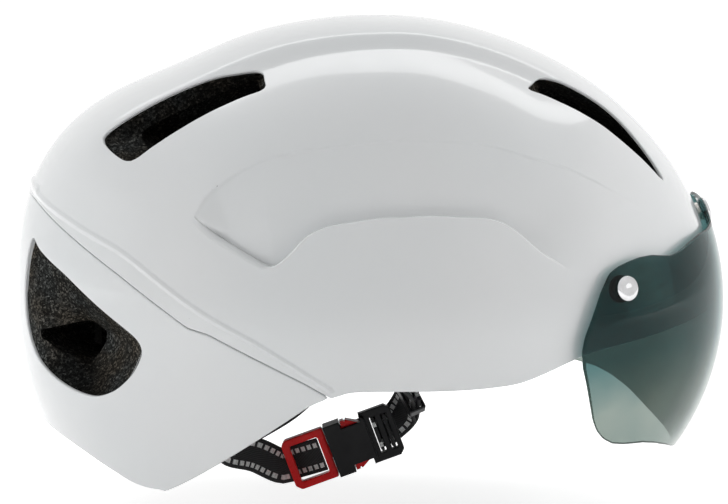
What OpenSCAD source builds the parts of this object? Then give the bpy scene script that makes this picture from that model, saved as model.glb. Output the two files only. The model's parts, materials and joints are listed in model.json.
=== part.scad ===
/* [Shell] */
// Half width of the shell at the ears
half_width = 108; // [104:0.5:112]
// Height of the crown above the side rim
crown_height = 134; // [131:0.5:138]
// Wall of the moulded shells
shell_wall = 1.2; // [1:0.1:1.4]
// Step from the upper shell down to the rear shell
seam_step = 0.5; // [0.3:0.1:0.6]
// Gap between the two shells along their joint
seam_gap = 0.6; // [0.3:0.1:1]
// How far the spine stands above the skin beside it
spine_rise = 3; // [1:0.5:4]
// Angle from the middle plane to the edge of the spine
spine_edge = 16; // [14:0.5:18]
// Angle from the middle plane to the foot of the spine
spine_foot = 22; // [20:0.5:23]
// Depth of the side panel at its lower lip
panel_depth = 4; // [2:0.5:5]
// Angle over which the lip of the side panel drops
lip_width = 1.8; // [1.2:0.1:2.5]

/* [Foam] */
// Gap between the foam and the rear shell
foam_gap = 0.2; // [0.1:0.05:0.3]
// Joint between two blocks of the foam
block_gap = 0.1; // [0.05:0.05:0.2]
// Angle down the side from the top at which the crown blocks of foam begin
crown_aside = 66.4; // [64:0.1:70]
// Distance that the shells reach below the foam
rim_lip = 1.5; // [1:0.5:2]
// Half length of the room for the head
head_half_length = 103; // [101:0.5:105]
// Half width of the room for the head
head_half_width = 82; // [80:0.5:84]
// Height of the domed roof above the straight wall
head_dome = 80; // [76:0.5:84]

/* [Visor] */
// Wall of the lens
lens_wall = 2; // [1.6:0.1:2.4]
// Gap between the lens and the shell at the studs
lens_gap = 3.2; // [3:0.1:3.6]
// Gap between the lens and the shell at the brow
front_gap = 2; // [1.6:0.1:2.4]
// Radius of the head of a stud
stud_radius = 5; // [4:0.25:6]
// Height of the head of a stud above the lens
stud_height = 1.4; // [1:0.1:2]
// Radius of a magnet
magnet_radius = 4; // [3:0.25:5]
// Length of a magnet in the shell
magnet_length = 4; // [3:0.5:5]
// Distance that the visor is drawn off
visor_travel = 40; // [20:5:60]

/* [Fit system] */
// Room between the arc of the rack bands and the side wall of the head room
band_room = 8; // [7.5:0.25:9]
// Room between the arc of the rack bands and the rear wall of the head room
dial_room = 42; // [41:0.5:43]
// Thickness of a rack band
band_wall = 1.2; // [1:0.1:1.3]
// Height of a rack band along the side of the head
band_height = 12; // [10:0.5:13]
// Pitch radius of the pinion
pinion_radius = 5.5; // [5:0.1:5.8]
// Radius of the fit dial
dial_radius = 15; // [13:0.5:16]
// Thickness of the fit dial
dial_depth = 8; // [7:0.5:9]
// Angle by which the cradle hangs below the temples
cradle_tilt = 20; // [18:0.5:22]
// Width of the height strip
strip_width = 14; // [12:0.5:15]

/* [Straps and buckle] */
// Width of the webbing
web_width = 15; // [14:0.5:16]
// Thickness of the webbing
web_wall = 1.4; // [1:0.1:1.6]
// Width of the buckle
buckle_width = 23; // [22.5:0.5:25]
// Thickness of the buckle
buckle_depth = 8; // [7.5:0.5:9]
// Length of the strap frame of the male buckle half
frame_length = 19; // [17:0.5:20]
// Length of the female buckle half
socket_length = 30; // [29:0.5:33]

/* [Hidden] */

// The skin is measured outwards from this point inside the head
skin_centre = [10, 0, 20];
// Radii of the middle profile every 15 degrees: below the brow, over the crown, below the tail
crown_radius = crown_height - skin_centre[2];
front_radii = [189, 155, 139, 137, 134, 127, 121, 116];
crown_radii = [crown_radius, crown_radius, crown_radius + 2];
tail_radii = [122, 128, 150, 157, 156, 157, 154, 148];
middle_radii = concat(front_radii, crown_radii, tail_radii);
profile_start = -45;
profile_step = 15;
side_power = 2.15;

function cubic(list, k, t) =
    (pow(1 - t, 3) * list[k] + (3 * pow(t, 3) - 6 * t * t + 4) * list[k + 1]
    + (1 + 3 * t + 3 * t * t - 3 * pow(t, 3)) * list[k + 2] + pow(t, 3) * list[k + 3]) / 6;
function padded(list) = let (n = len(list))
    concat([2 * list[0] - list[1]], list, [2 * list[n - 1] - list[n - 2]]);
function smooth_list(list, u) = let (v = max(0, min(len(list) - 1.0001, u)), k = floor(v))
    cubic(padded(list), k, v - k);
function middle_radius(angle) =
    smooth_list(middle_radii, (angle - profile_start) / profile_step);
function side_radius(rise) = rise < 0 ? half_width / max(cos(rise), 0.6)
    : pow(pow(cos(rise) / half_width, side_power) + pow(sin(rise) / crown_radius, side_power),
        -1 / side_power);
function ease(u) = let (v = max(0, min(1, u))) v * v * (3 - 2 * v);
function base_radius(d) = let (rise = asin(d[2]), flat = norm([d[0], d[1]]) + 0.00001,
        c = d[0] / flat, s2 = 1 - c * c, w = ease(c + 0.5),
        front = middle_radius(rise), tail = middle_radius(180 - rise), side = side_radius(rise))
    pow(c * c * ((1 - w) / (tail * tail) + w / (front * front)) + s2 / (side * side), -0.5);

// A direction is named by its angle in the middle plane, from the brow over the crown to the
// tail, and its angle away from that plane, which is positive on the wearer's right
function way(along, aside) =
    [cos(aside) * cos(along), -sin(aside), cos(aside) * sin(along)];

// Lower lip and crease of the side panel, as angles aside at each angle along
lip_start = 15;
lip_step = 15;
lip_angles = [46, 56, 57.8, 60.8, 64, 65, 64.8, 62.9, 61.7, 60.5];
function lip_at(along) = smooth_list(lip_angles, (along - lip_start) / lip_step);
crease_angles = [25, 34, 41, 45.5, 48.5, 50, 49.5, 46.5, 44, 44];
function crease_at(along) = smooth_list(crease_angles, (along - lip_start) / lip_step);

function spine_inset(along, aside) = let (a = abs(aside))
    spine_rise * ease((along - 40) / 16) * ease((156 - along) / 14)
    * ease((a - spine_edge) / (spine_foot - spine_edge)) * (1 - ease((a - spine_foot) / 22));
function panel_inset(along, aside) = let (a = abs(aside), lip = lip_at(along), top = crease_at(along))
    panel_depth * ease((along - 14) / 14) * ease((155 - along) / 7)
    * (a <= lip ? max(0, (a - top) / (lip - top))
        : max(0, 1 - (a - lip) / lip_width));
function skin_point(along, aside, inset = 0) = let (d = way(along, aside))
    skin_centre + d * (base_radius(d) - spine_inset(along, aside)
    - panel_inset(along, aside) - inset);

// Rows of the skin follow the spine, the crease and the lip of the side panel
function half_rows(along) = let (lip = lip_at(along), top = max(crease_at(along), spine_foot + 3))
    [8, spine_edge, (spine_edge + spine_foot) / 2, spine_foot, (2 * spine_foot + top) / 3,
    (spine_foot + 2 * top) / 3, top, (top + lip) / 2, lip, lip + lip_width, 78];
function row_angles(along) = let (h = half_rows(along), n = len(h))
    concat([for (k = [n - 1:-1:0]) -h[k]], [0], h);
skin_columns = concat([for (a = [-30:6:210]) a], [235, 270, 305]);

module dome(inset) {
    columns = len(skin_columns);
    rows = len(row_angles(0));
    points = concat([for (a = skin_columns) for (b = row_angles(a)) skin_point(a, b, inset)],
        [skin_point(90, -90, inset), skin_point(90, 90, inset)]);
    function at(k, j) = (k % columns) * rows + j;
    sides = [for (k = [0:columns - 1]) for (j = [0:rows - 2]) each [
        [at(k, j), at(k, j + 1), at(k + 1, j + 1)], [at(k, j), at(k + 1, j + 1), at(k + 1, j)]]];
    left = [for (k = [0:columns - 1]) [columns * rows, at(k, 0), at(k + 1, 0)]];
    right = [for (k = [0:columns - 1]) [columns * rows + 1, at(k + 1, rows - 1), at(k, rows - 1)]];
    polyhedron(points, concat(sides, left, right), convexity = 6);
}

// Side view of the rim, from the brow to the tail, and of the joint between the shells
rim_line = [[170, 20], [141, 17], [92, 12], [80, 9.5], [63, 3.5], [52, 1], [30, 0], [-4, 0],
    [-14, -2], [-24, -6], [-34, -13], [-76, -43], [-84, -46], [-94, -45.5], [-105, -41],
    [-128, -32], [-170, -24]];
seam_line = [[-170, 74], [-134, 62], [-98, 40], [-71, 22], [-63, 20], [-27, 3], [-17, -2.5],
    [0, -16], [0, -80]];
reach = 170;

function lifted(line, rise) = [for (p = line) [p[0], p[1] + rise]];

module above(line, rise = 0) {
    rotate([90, 0, 0])
        linear_extrude(2 * reach, center = true)
            polygon(concat(lifted(line, rise), [[-reach, reach], [reach, reach]]));
}

module behind_seam(gap) {
    rotate([90, 0, 0])
        linear_extrude(2 * reach, center = true)
            translate([-gap / 2, -gap])
                polygon(concat(seam_line, [[-reach, -80]]));
}

// Vents are chains of pins that point at the skin centre: along, aside, half width
front_vent = [[55, 20.6, 6], [51, 19.6, 7.4], [46, 19.4, 7.8], [41, 19.5, 6.7], [35.5, 19.2, 4.7],
    [29.5, 19.1, 2.1], [26.5, 18.4, 1]];
top_vent = [[145.5, 22.2, 9.6], [137, 22.2, 10.2], [128.5, 22.7, 9.2], [122, 24.4, 6.6]];
side_vent = [[171.2, 15.2, 4], [176.2, 25.5, 8], [185.5, 35.3, 10], [190, 31.5, 9.3], [189, 25.5, 9.5],
    [186.5, 18.5, 10], [181, 16.8, 9.5], [175.5, 15.6, 7.2]];
side_hole = [[184, 23, 7], [183.5, 27, 8], [183, 31, 8]];
vent_outer = 175;

module vent_disc(along, aside, distance, half) {
    d = way(along, aside);
    translate(skin_centre + d * distance)
        rotate([0, 90 - asin(d[2]), atan2(d[1], d[0])])
            cylinder(r = half, h = 1, center = true, $fn = 16);
}

module vent_pin(pin, side, deep, lean, taper) {
    vent_disc(pin[0], side * pin[1], vent_outer, pin[2] * 1.15);
    vent_disc(pin[0] + lean, side * pin[1], deep, pin[2] * taper);
}

module vent_chain(pins, deep, lean = 0, taper = 1) {
    for (side = [-1, 1])
        for (k = [0:len(pins) - 2])
            hull() {
                vent_pin(pins[k], side, deep, lean, taper);
                vent_pin(pins[k + 1], side, deep, lean, taper);
            }
}

module vent_fan(pins, deep, taper = 1) {
    for (side = [-1, 1])
        for (k = [1:len(pins) - 2])
            hull()
                for (j = [0, k, k + 1])
                    vent_pin(pins[j], side, deep, 0, taper);
}

// Room for the head: a straight oval wall with a domed roof
head_x = 5;
head_wall_top = 25;
function head_point(turn, rise, inset = 0) = let (lift = max(rise, 0), drop = min(rise, 0))
    [head_x + (head_half_length - inset) * cos(turn) * cos(lift),
    -(head_half_width - inset) * sin(turn) * cos(lift),
    head_wall_top + (head_dome - inset) * sin(lift) + head_dome * drop * PI / 180];

module head_room() {
    steps = 40;
    rises = [-110, 0, 12, 24, 36, 48, 60, 70, 80];
    rows = len(rises);
    points = concat([for (r = rises) for (k = [0:steps - 1]) head_point(-k * 360 / steps, r)],
        [head_point(0, 90)]);
    function at(j, k) = j * steps + k % steps;
    base = [[for (k = [0:steps - 1]) k]];
    sides = [for (j = [0:rows - 2]) for (k = [0:steps - 1]) each [
        [at(j, k), at(j + 1, k + 1), at(j, k + 1)], [at(j, k), at(j + 1, k), at(j + 1, k + 1)]]];
    roof = [for (k = [0:steps - 1]) [at(rows - 1, k), rows * steps, at(rows - 1, k + 1)]];
    polyhedron(points, concat(base, sides, roof), convexity = 4);
}

module upper_shell() {
    color("white")
        difference() {
            intersection() {
                dome(0);
                above(rim_line);
            }
            dome(shell_wall);
            behind_seam(0);
            vent_chain(front_vent, 70);
            vent_chain(top_vent, 70);
            magnet_holes();
        }
}

module rear_shell() {
    color("white")
        difference() {
            intersection() {
                dome(seam_step);
                above(rim_line);
                behind_seam(seam_gap);
            }
            dome(seam_step + shell_wall);
            vent_fan(side_vent, 70);
        }
}

foam_inset = seam_step + shell_wall + foam_gap;

// The foam is laid out as blocks round the head: sectors of the wall below two crown blocks
block_turns = [32, 68, 112, 168];
crown_split = 8;
crown_way = way(90, crown_aside);
crown_cut = skin_centre[2] + base_radius(crown_way) * crown_way[2];
function far_point(turn) = [head_x + 2 * reach * cos(turn), -2 * reach * sin(turn)];

module foam_sector(from, to) {
    translate([0, 0, -reach])
        linear_extrude(reach + crown_cut - block_gap / 2)
            offset(delta = -block_gap / 2)
                polygon([[head_x, 0], far_point(from), far_point((from + to) / 2), far_point(to)]);
}

module foam_roof(side) {
    translate([crown_split + (side > 0 ? block_gap / 2 : -2 * reach - block_gap / 2), -reach,
        crown_cut + block_gap / 2])
        cube([2 * reach, 2 * reach, reach]);
}

module foam_cuts() {
    head_room();
    vent_chain(front_vent, 84, -6, 0.8);
    vent_chain(top_vent, 83, -12, 0.8);
    vent_fan(side_vent, 122, 0.72);
    vent_chain(side_hole, 80);
    dial_pocket();
    pivot_pockets(fit_gap);
    magnet_pockets();
    guide_pocket();
    headband_pockets();
    anchor_pockets();
}

module foam_block() {
    color("dimgray")
        difference() {
            intersection() {
                dome(foam_inset);
                above(rim_line, rim_lip);
                children();
            }
            foam_cuts();
        }
}

module foam_brow() {
    foam_block()
        foam_sector(-block_turns[0], block_turns[0]);
}

module foam_front_right() {
    foam_block()
        foam_sector(block_turns[0], block_turns[1]);
}

module foam_front_left() {
    foam_block()
        foam_sector(-block_turns[1], -block_turns[0]);
}

module foam_side_right() {
    foam_block()
        foam_sector(block_turns[1], block_turns[2]);
}

module foam_side_left() {
    foam_block()
        foam_sector(-block_turns[2], -block_turns[1]);
}

module foam_rear_right() {
    foam_block()
        foam_sector(block_turns[2], block_turns[3]);
}

module foam_rear_left() {
    foam_block()
        foam_sector(-block_turns[3], -block_turns[2]);
}

module foam_nape() {
    foam_block()
        foam_sector(block_turns[3], 360 - block_turns[3]);
}

module foam_crown_front() {
    foam_block()
        foam_roof(1);
}

module foam_crown_rear() {
    foam_block()
        foam_roof(-1);
}

// The visor is a part of a sphere that clears the shell by one gap at the brow, one at the studs
visor_level = 15;
lens_front = skin_centre[0] + middle_radius(0) + front_gap + lens_wall;
magnet_ways = [[60, 11.5], [-60, 11.5], [0, 21.5]];
magnet_gap = 0.1;
cup_wall = 1.2;
cup_depth = 6;
cup_radius = magnet_radius + magnet_gap + cup_wall;
lens_disc = 1.5;
seat_gap = 0.3;
shank_radius = 2;

function visor_way(m) = [cos(m[1]) * cos(m[0]), -cos(m[1]) * sin(m[0]), sin(m[1])];
function skin_radius(d) = let (along = atan2(d[2], d[0]), aside = asin(-d[1]))
    base_radius(d) - spine_inset(along, aside) - panel_inset(along, aside);
function fit_lens(guess, count = 16) = let (
        v = (guess - lens_gap - lens_wall) * visor_way(magnet_ways[0])
            + [lens_front - guess, 0, visor_level] - skin_centre,
        miss = skin_radius(v / norm(v)) - norm(v))
    count == 0 ? guess : fit_lens(guess + 2 * miss, count - 1);
lens_radius = fit_lens(100);
visor_centre = [lens_front - lens_radius, 0, visor_level];
magnet_face = lens_radius - lens_wall - lens_disc - 2 * magnet_gap - seat_gap;

module at_magnet(m) {
    translate(visor_centre)
        rotate([0, 90 - m[1], -m[0]])
            children();
}

// Side view of the lens, from the top corner at the stud down, forward and back along the top
lens_edge = [[65.01, 41.7], [67.15, 35], [68.95, 27], [71.03, 18], [71.68, 12], [71.33, 6],
    [70.32, -1], [68.35, -16.5], [67.15, -21.5], [65.32, -25.5], [62.84, -28.3], [59.66, -29.6],
    [53.65, -31], [49.37, -33.2], [44.80, -36.7], [38.95, -42.5], [33.27, -46.5], [0, -52],
    [0, 50], [33.27, 49.8], [38.95, 48], [43.19, 46], [46.36, 45.2], [52.95, 46.8], [56.70, 46.6],
    [59.66, 45.6], [62.84, 44]];
lens_past = 20;
function lens_x(turn) = visor_centre[0] + lens_radius * cos(turn) + (turn == 0 ? lens_past : 0);
lens_side = [for (p = lens_edge) [lens_x(p[0]), p[1]]];
tab_half = 13;
tab_margin = 6.35;
tab_top = visor_level + lens_radius * sin(magnet_ways[2][1]) + tab_margin;

module lens_window() {
    rotate([90, 0, 0]) {
        linear_extrude(2 * reach, center = true)
            polygon(lens_side);
        linear_extrude(2 * tab_half, center = true)
            polygon([[125, 40], [125, tab_top], [170, tab_top], [170, 40]]);
    }
}

module visor_lens() {
    color([0.35, 0.42, 0.42, 0.5])
        difference() {
            intersection() {
                translate(visor_centre)
                    sphere(r = lens_radius, $fn = 120);
                lens_window();
            }
            translate(visor_centre)
                sphere(r = lens_radius - lens_wall, $fn = 120);
            for (m = magnet_ways)
                at_magnet(m)
                    translate([0, 0, lens_radius - 2 * lens_wall])
                        cylinder(r = shank_radius + magnet_gap, h = 4 * lens_wall, $fn = 32);
        }
}

module visor_studs() {
    color("silver")
        for (m = magnet_ways)
            at_magnet(m)
                translate([0, 0, lens_radius + magnet_gap]) {
                    cylinder(r1 = stud_radius, r2 = stud_radius - 0.6, h = stud_height, $fn = 48);
                    translate([0, 0, -lens_wall - 2 * magnet_gap])
                        cylinder(r = shank_radius, h = lens_wall + 2.5 * magnet_gap, $fn = 32);
                }
}

module visor_magnets() {
    color("gray")
        for (m = magnet_ways)
            at_magnet(m)
                translate([0, 0, lens_radius - lens_wall - lens_disc - 2 * magnet_gap])
                    cylinder(r = magnet_radius, h = lens_disc, $fn = 40);
}

// The magnets of the shell meet those of the lens, in cups that reach into the foam
module shell_magnets() {
    color("gray")
        for (m = magnet_ways)
            at_magnet(m)
                translate([0, 0, magnet_face - magnet_length])
                    cylinder(r = magnet_radius, h = magnet_length, $fn = 40);
}

module magnet_cups() {
    color([0.15, 0.15, 0.16])
        for (m = magnet_ways)
            at_magnet(m)
                translate([0, 0, magnet_face - cup_depth])
                    difference() {
                        cylinder(r = cup_radius, h = cup_depth, $fn = 48);
                        translate([0, 0, cup_depth - magnet_length])
                            cylinder(r = magnet_radius + magnet_gap, h = cup_depth, $fn = 40);
                    }
}

module magnet_holes() {
    for (m = magnet_ways)
        at_magnet(m)
            translate([0, 0, magnet_face - cup_depth])
                cylinder(r = cup_radius + 2 * magnet_gap, h = 3 * cup_depth, $fn = 32);
}

module magnet_pockets() {
    for (m = magnet_ways)
        at_magnet(m)
            translate([0, 0, magnet_face - cup_depth - magnet_gap])
                cylinder(r = cup_radius + 2 * magnet_gap, h = 3 * cup_depth, $fn = 32);
}

// The fit system swings about the temple pivots and hangs down towards the nape
pivot = [-25, 0, 14];
band_radius = head_half_width - band_room;
band_centre = band_radius + dial_room - head_half_length;
layer_gap = 0.4;
fit_gap = 0.3;
bore_gap = 0.05;
head_wall_y = head_half_width * sqrt(1 - pow((pivot[0] - head_x) / head_half_length, 2));
pivot_flange = 7;
pivot_pin = 2;
flange_wall = 2.5;
sleeve_wall = 1.4;
function layer(side) = band_radius + side * (band_wall + layer_gap) / 2;

module in_cradle() {
    translate(pivot)
        rotate([0, -cradle_tilt, 0])
            children();
}

module about_band() {
    in_cradle()
        translate([band_centre, 0, 0])
            children();
}

module arc_plate(mid, wall, low, high, start, sweep) {
    rotate([0, 0, start])
        rotate_extrude(angle = sweep, $fn = 120)
            translate([mid - wall / 2, low])
                square([wall, high - low]);
}

module pivot_pockets(gap) {
    for (side = [-1, 1])
        translate([pivot[0], side * (head_wall_y + flange_wall / 2), pivot[2]])
            rotate([90, 0, 0])
                cylinder(r = pivot_flange + gap, h = 2 * flange_wall + 2 * gap, center = true, $fn = 32);
}

sleeve_face = 1;
module temple_pivots() {
    color([0.15, 0.15, 0.16])
        for (side = [-1, 1])
            translate([pivot[0], side * head_wall_y, pivot[2]])
                rotate([-90 * side, 0, 0]) {
                    translate([0, 0, flange_wall / 2])
                        cylinder(r = pivot_flange, h = flange_wall, $fn = 48);
                    translate([0, 0, -(head_wall_y - pin_end(side))])
                        cylinder(r = pivot_pin, h = head_wall_y - pin_end(side) + flange_wall, $fn = 32);
                }
}

// The pin ends just outside the band that its sleeve guides
function sleeve_y(side, out) = sqrt(pow(layer(side) + out, 2) - band_centre * band_centre);
function pin_end(side) = sleeve_y(side, band_wall / 2) + 0.9;
sleeve_turn = 7;

module temple_sleeves() {
    color([0.15, 0.15, 0.16])
        for (side = [-1, 1]) {
            mid = layer(side);
            turn = acos(-band_centre / mid);
            difference() {
                union() {
                    about_band()
                        arc_plate(mid, band_wall + 2 * fit_gap + 2 * sleeve_wall,
                            -band_height / 2 - fit_gap - sleeve_wall, band_height / 2 + fit_gap + sleeve_wall,
                            side * turn - sleeve_turn, 2 * sleeve_turn);
                    in_cradle()
                        rotate([-90 * side, 0, 0])
                            translate([0, 0, sleeve_y(side, 0.6)])
                                cylinder(r = pivot_pin + 2.5, h = head_wall_y - sleeve_face
                                    - sleeve_y(side, 0.6), $fn = 40);
                }
                about_band()
                    arc_plate(mid, band_wall + 2 * fit_gap, -band_height / 2 - fit_gap,
                        band_height / 2 + fit_gap, side * turn - 2 * sleeve_turn, 4 * sleeve_turn);
                in_cradle()
                    rotate([-90 * side, 0, 0])
                        translate([0, 0, sleeve_y(side, 0.6)])
                            cylinder(r = pivot_pin + bore_gap, h = head_wall_y - sleeve_y(side, 0.6),
                                $fn = 32);
            }
        }
}

// Rack and pinion: a tooth of each rack stands over the dial's axis at mid travel
pinion_teeth = 12;
tooth_pitch = 2 * PI * pinion_radius / pinion_teeth;
tooth_tip = 0.75;
tooth_root = 0.95;
rack_tip = pinion_radius - 0.6;
rack_root = pinion_radius + 1.05;
rack_teeth = 5;
slot_turn = 13.5;
rack_end = 17;
band_front = 80;
rack_height = rack_root + 3;
plain_edge = pinion_radius + tooth_tip + 0.4;

module band(side) {
    mid = layer(side);
    low = side > 0 ? -plain_edge : -rack_tip;
    high = side > 0 ? rack_tip : plain_edge;
    pitch_turn = tooth_pitch / mid * 180 / PI;
    sweep = 180 - rack_end - band_front;
    about_band()
        difference() {
            arc_plate(mid, band_wall, -rack_height, rack_height,
                side > 0 ? band_front : 180 - rack_end, sweep + 2 * rack_end);
            for (low = [-2 * rack_height, band_height / 2])
                arc_plate(mid, 3 * band_wall, low, low + 2 * rack_height - band_height / 2,
                    side > 0 ? band_front - 4 : 180 + rack_end, sweep + 4);
            arc_plate(mid, 3 * band_wall, low, high, 180 - slot_turn, 2 * slot_turn);
            for (k = [-rack_teeth:rack_teeth - 1])
                rotate([0, 0, 180 + (k + 0.5) * pitch_turn])
                    translate([mid - 2 * band_wall, 0, 0])
                        rotate([90, 0, 90])
                            linear_extrude(4 * band_wall)
                                rack_space(side);
        }
}

module rack_space(side) {
    half = tooth_pitch / 4 + 0.16;
    slope = 0.36;
    polygon([[-half - slope * 0.7, side * (rack_tip - 0.1)], [half + slope * 0.7, side * (rack_tip - 0.1)],
        [half - slope * 1.05, side * rack_root], [-half + slope * 1.05, side * rack_root]]);
}

module band_left() {
    color([0.16, 0.16, 0.17])
        band(1);
}

module band_right() {
    color([0.16, 0.16, 0.17])
        band(-1);
}

// What turns with the dial is laid out along its axis, measured from the band's axis
cover_turn = 24;
cover_wall = 2;
cover_high = 12;
rail_low = 10.2;
inner_face = layer(-1) - band_wall / 2 - 0.8;
outer_face = layer(1) + band_wall / 2 + 0.8;
shaft_radius = 4;
screw_radius = 1.5;
screw_head = 3.5;
screw_length = 10;
dial_face = outer_face + cover_wall + 0.4;
dial_hollow = 2.5;
tongue_high = 19;
tongue_half = 9;

module on_dial(distance) {
    about_band()
        translate([-distance, 0, 0])
            rotate([0, -90, 0])
                children();
}

module dial_housing() {
    color([0.18, 0.18, 0.19])
        difference() {
            about_band() {
                arc_plate(inner_face - cover_wall / 2, cover_wall, -cover_high, cover_high,
                    180 - cover_turn, 2 * cover_turn);
                for (low = [-cover_high, rail_low])
                    arc_plate((inner_face + outer_face) / 2 - 0.1, outer_face - inner_face, low,
                        low + cover_high - rail_low, 180 - cover_turn, 2 * cover_turn);
            }
            on_dial(inner_face - 2 * cover_wall)
                cylinder(r = screw_head + 0.5, h = 2.5 * cover_wall, $fn = 40);
        }
}

strip_room = 6;
strip_inner = outer_face + cover_wall - band_centre + strip_room;
strip_wall = 1.6;
strip_low = 167;
strip_high = 128;
block_low = dial_radius + 0.4;
block_back = strip_inner + strip_wall + 0.6;

module strip_arc(inner, outer, half, start, sweep) {
    in_cradle()
        rotate([90, 0, 0])
            rotate([0, 0, start])
                rotate_extrude(angle = sweep, $fn = 120)
                    translate([inner, -half])
                        square([outer - inner, 2 * half]);
}

module cradle_back() {
    color([0.18, 0.18, 0.19])
        difference() {
            union() {
                about_band() {
                    arc_plate(outer_face + cover_wall / 2, cover_wall, -cover_high, cover_high,
                        180 - cover_turn, 2 * cover_turn);
                    arc_plate(outer_face + cover_wall / 2, cover_wall - 0.4, 0, tongue_high,
                        180 - 7, 14);
                }
                in_cradle()
                    translate([-block_back, -tongue_half, block_low])
                        cube([block_back + band_centre - outer_face - cover_wall / 2, 2 * tongue_half,
                            tongue_high - block_low]);
            }
            on_dial(outer_face - cover_wall)
                cylinder(r = shaft_radius + bore_gap, h = 3 * cover_wall, $fn = 48);
            strip_arc(strip_inner - bore_gap, strip_inner + strip_wall + bore_gap,
                strip_width / 2 + bore_gap, strip_high, strip_low - strip_high + 8);
        }
}

module dial_knob() {
    color([0.14, 0.14, 0.15])
        on_dial(dial_face)
            difference() {
                union() {
                    difference() {
                        cylinder(r = dial_radius, h = dial_depth, $fn = 96);
                        translate([0, 0, -1])
                            cylinder(r = dial_radius - 2.5, h = dial_hollow + 1, $fn = 96);
                        for (k = [0:17])
                            rotate([0, 0, 20 * k])
                                translate([dial_radius + 1.2, 0, -1])
                                    cylinder(r = 2, h = dial_depth + 2, $fn = 24);
                    }
                    translate([0, 0, inner_face + 4.2 - dial_face])
                        cylinder(r = shaft_radius, h = dial_face - inner_face - 4.2 + dial_hollow + 0.5,
                            $fn = 48);
                }
                translate([0, 0, inner_face - dial_face])
                    cylinder(r = screw_radius + bore_gap, h = screw_length, $fn = 32);
            }
}

function gear_tooth(k) = let (a = (k + 0.5) * 360 / pinion_teeth, tip = pinion_radius + tooth_tip,
        root = pinion_radius - tooth_root)
    [[root, a - 10.5], [pinion_radius, a - 6], [tip, a - 2.6], [tip, a + 2.6], [pinion_radius, a + 6],
    [root, a + 10.5]];

module dial_pinion() {
    color("whitesmoke")
        on_dial(inner_face + 0.5)
            difference() {
                linear_extrude(3.6)
                    polygon([for (k = [0:pinion_teeth - 1]) for (p = gear_tooth(k))
                        [p[0] * cos(p[1]), p[0] * sin(p[1])]]);
                translate([0, 0, -1])
                    cylinder(r = screw_radius + bore_gap, h = 6, $fn = 32);
            }
}

module dial_screw() {
    color("silver")
        on_dial(inner_face - 0.6) {
            cylinder(r = screw_head, h = 1, $fn = 40);
            cylinder(r = screw_radius, h = screw_length, $fn = 32);
        }
}

module click_spring() {
    color("silver")
        on_dial(outer_face + cover_wall + 0.1)
            rotate([0, 0, 40])
                rotate_extrude(angle = 280, $fn = 72)
                    translate([8.6, 0])
                        square([0.8, 1.8]);
}

module height_strip() {
    color([0.16, 0.16, 0.17])
        difference() {
            strip_arc(strip_inner, strip_inner + strip_wall, strip_width / 2, strip_high,
                strip_low - strip_high);
            for (k = [0:3])
                strip_arc(strip_inner - 1, strip_inner + strip_wall + 1, 2, 131 + 4.5 * k, 2.4);
        }
}

guide_turn = 142;
guide_half = 5;
peg_radius = 3;
peg_length = 12.8;
peg_end = strip_inner + peg_length;

module guide_peg(radius, far) {
    in_cradle()
        rotate([0, -guide_turn, 0])
            translate([strip_inner + strip_wall + 0.7, 0, 0])
                rotate([0, 90, 0])
                    cylinder(r = radius, h = far - strip_inner - strip_wall - 0.7, $fn = 32);
}

module height_guide() {
    color([0.15, 0.15, 0.16]) {
        difference() {
            strip_arc(strip_inner - 1.5, strip_inner + strip_wall + 1.5, strip_width / 2 + 2.2,
                guide_turn - guide_half, 2 * guide_half);
            strip_arc(strip_inner - 0.2, strip_inner + strip_wall + 0.2, strip_width / 2 + 0.2,
                guide_turn - 2 * guide_half, 4 * guide_half);
        }
        guide_peg(peg_radius, peg_end);
    }
}

module guide_pocket() {
    guide_peg(peg_radius + 0.2, peg_end + 0.2);
    strip_arc(strip_inner - 3, strip_inner + strip_wall + 1.5 + fit_gap, strip_width / 2 + 2.5,
        guide_turn - guide_half - 0.4, 2 * guide_half + 0.8);
    strip_arc(strip_inner - 3, strip_inner + strip_wall + 0.6, strip_width / 2 + 0.6,
        strip_high - 9, strip_low - strip_high + 20);
}

// Hollow in the foam where the dial swings
pocket_half = 22;
dial_swing = 12.7;
pocket_back = (dial_face + dial_depth - band_centre) * cos(cradle_tilt) + dial_radius * sin(cradle_tilt)
    + dial_swing - pivot[0];
pocket_top = 18.5;
module dial_pocket() {
    hull()
        for (side = [-1, 1])
            for (x = [pocket_back - 6, 80])
                translate([-x, side * (pocket_half - 6), -80])
                    cylinder(r = 6, h = 80 + pocket_top, $fn = 24);
}

// Pieces on the wall of the head room
headband_inset = 1.6;
headband_wall = 1.2;
headband_low = 13;
headband_high = 27;
headband_turn = 76;
pin_turns = [-66, 0, 66];
pad_gap = 0.4;

function oval(turn, inset) = [head_x + (head_half_length - inset) * cos(turn),
    -(head_half_width - inset) * sin(turn)];

module front_headband() {
    color([0.16, 0.16, 0.17])
        difference() {
            translate([0, 0, headband_low])
                linear_extrude(headband_high - headband_low)
                    polygon(concat(
                        [for (t = [-headband_turn:4:headband_turn]) oval(t, headband_inset)],
                        [for (t = [headband_turn:-4:-headband_turn])
                            oval(t, headband_inset + headband_wall)]));
            for (t = pin_turns)
                at_headband(t)
                    cylinder(r = pivot_pin + bore_gap, h = 12, center = true, $fn = 32);
        }
}

module at_headband(t) {
    p = oval(t, headband_inset);
    translate([p[0], p[1], (headband_low + headband_high) / 2])
        rotate([0, 90, atan2(-sin(t) / head_half_width, cos(t) / head_half_length)])
            children();
}

pin_depth = 9;
module headband_pins() {
    color([0.15, 0.15, 0.16])
        for (t = pin_turns)
            at_headband(t) {
                translate([0, 0, -headband_wall - 0.4])
                    cylinder(r = pivot_pin, h = pin_depth, $fn = 32);
                translate([0, 0, -headband_wall - 1.6])
                    cylinder(r = pivot_pin + 1.5, h = 1.2, $fn = 32);
            }
}

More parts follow.
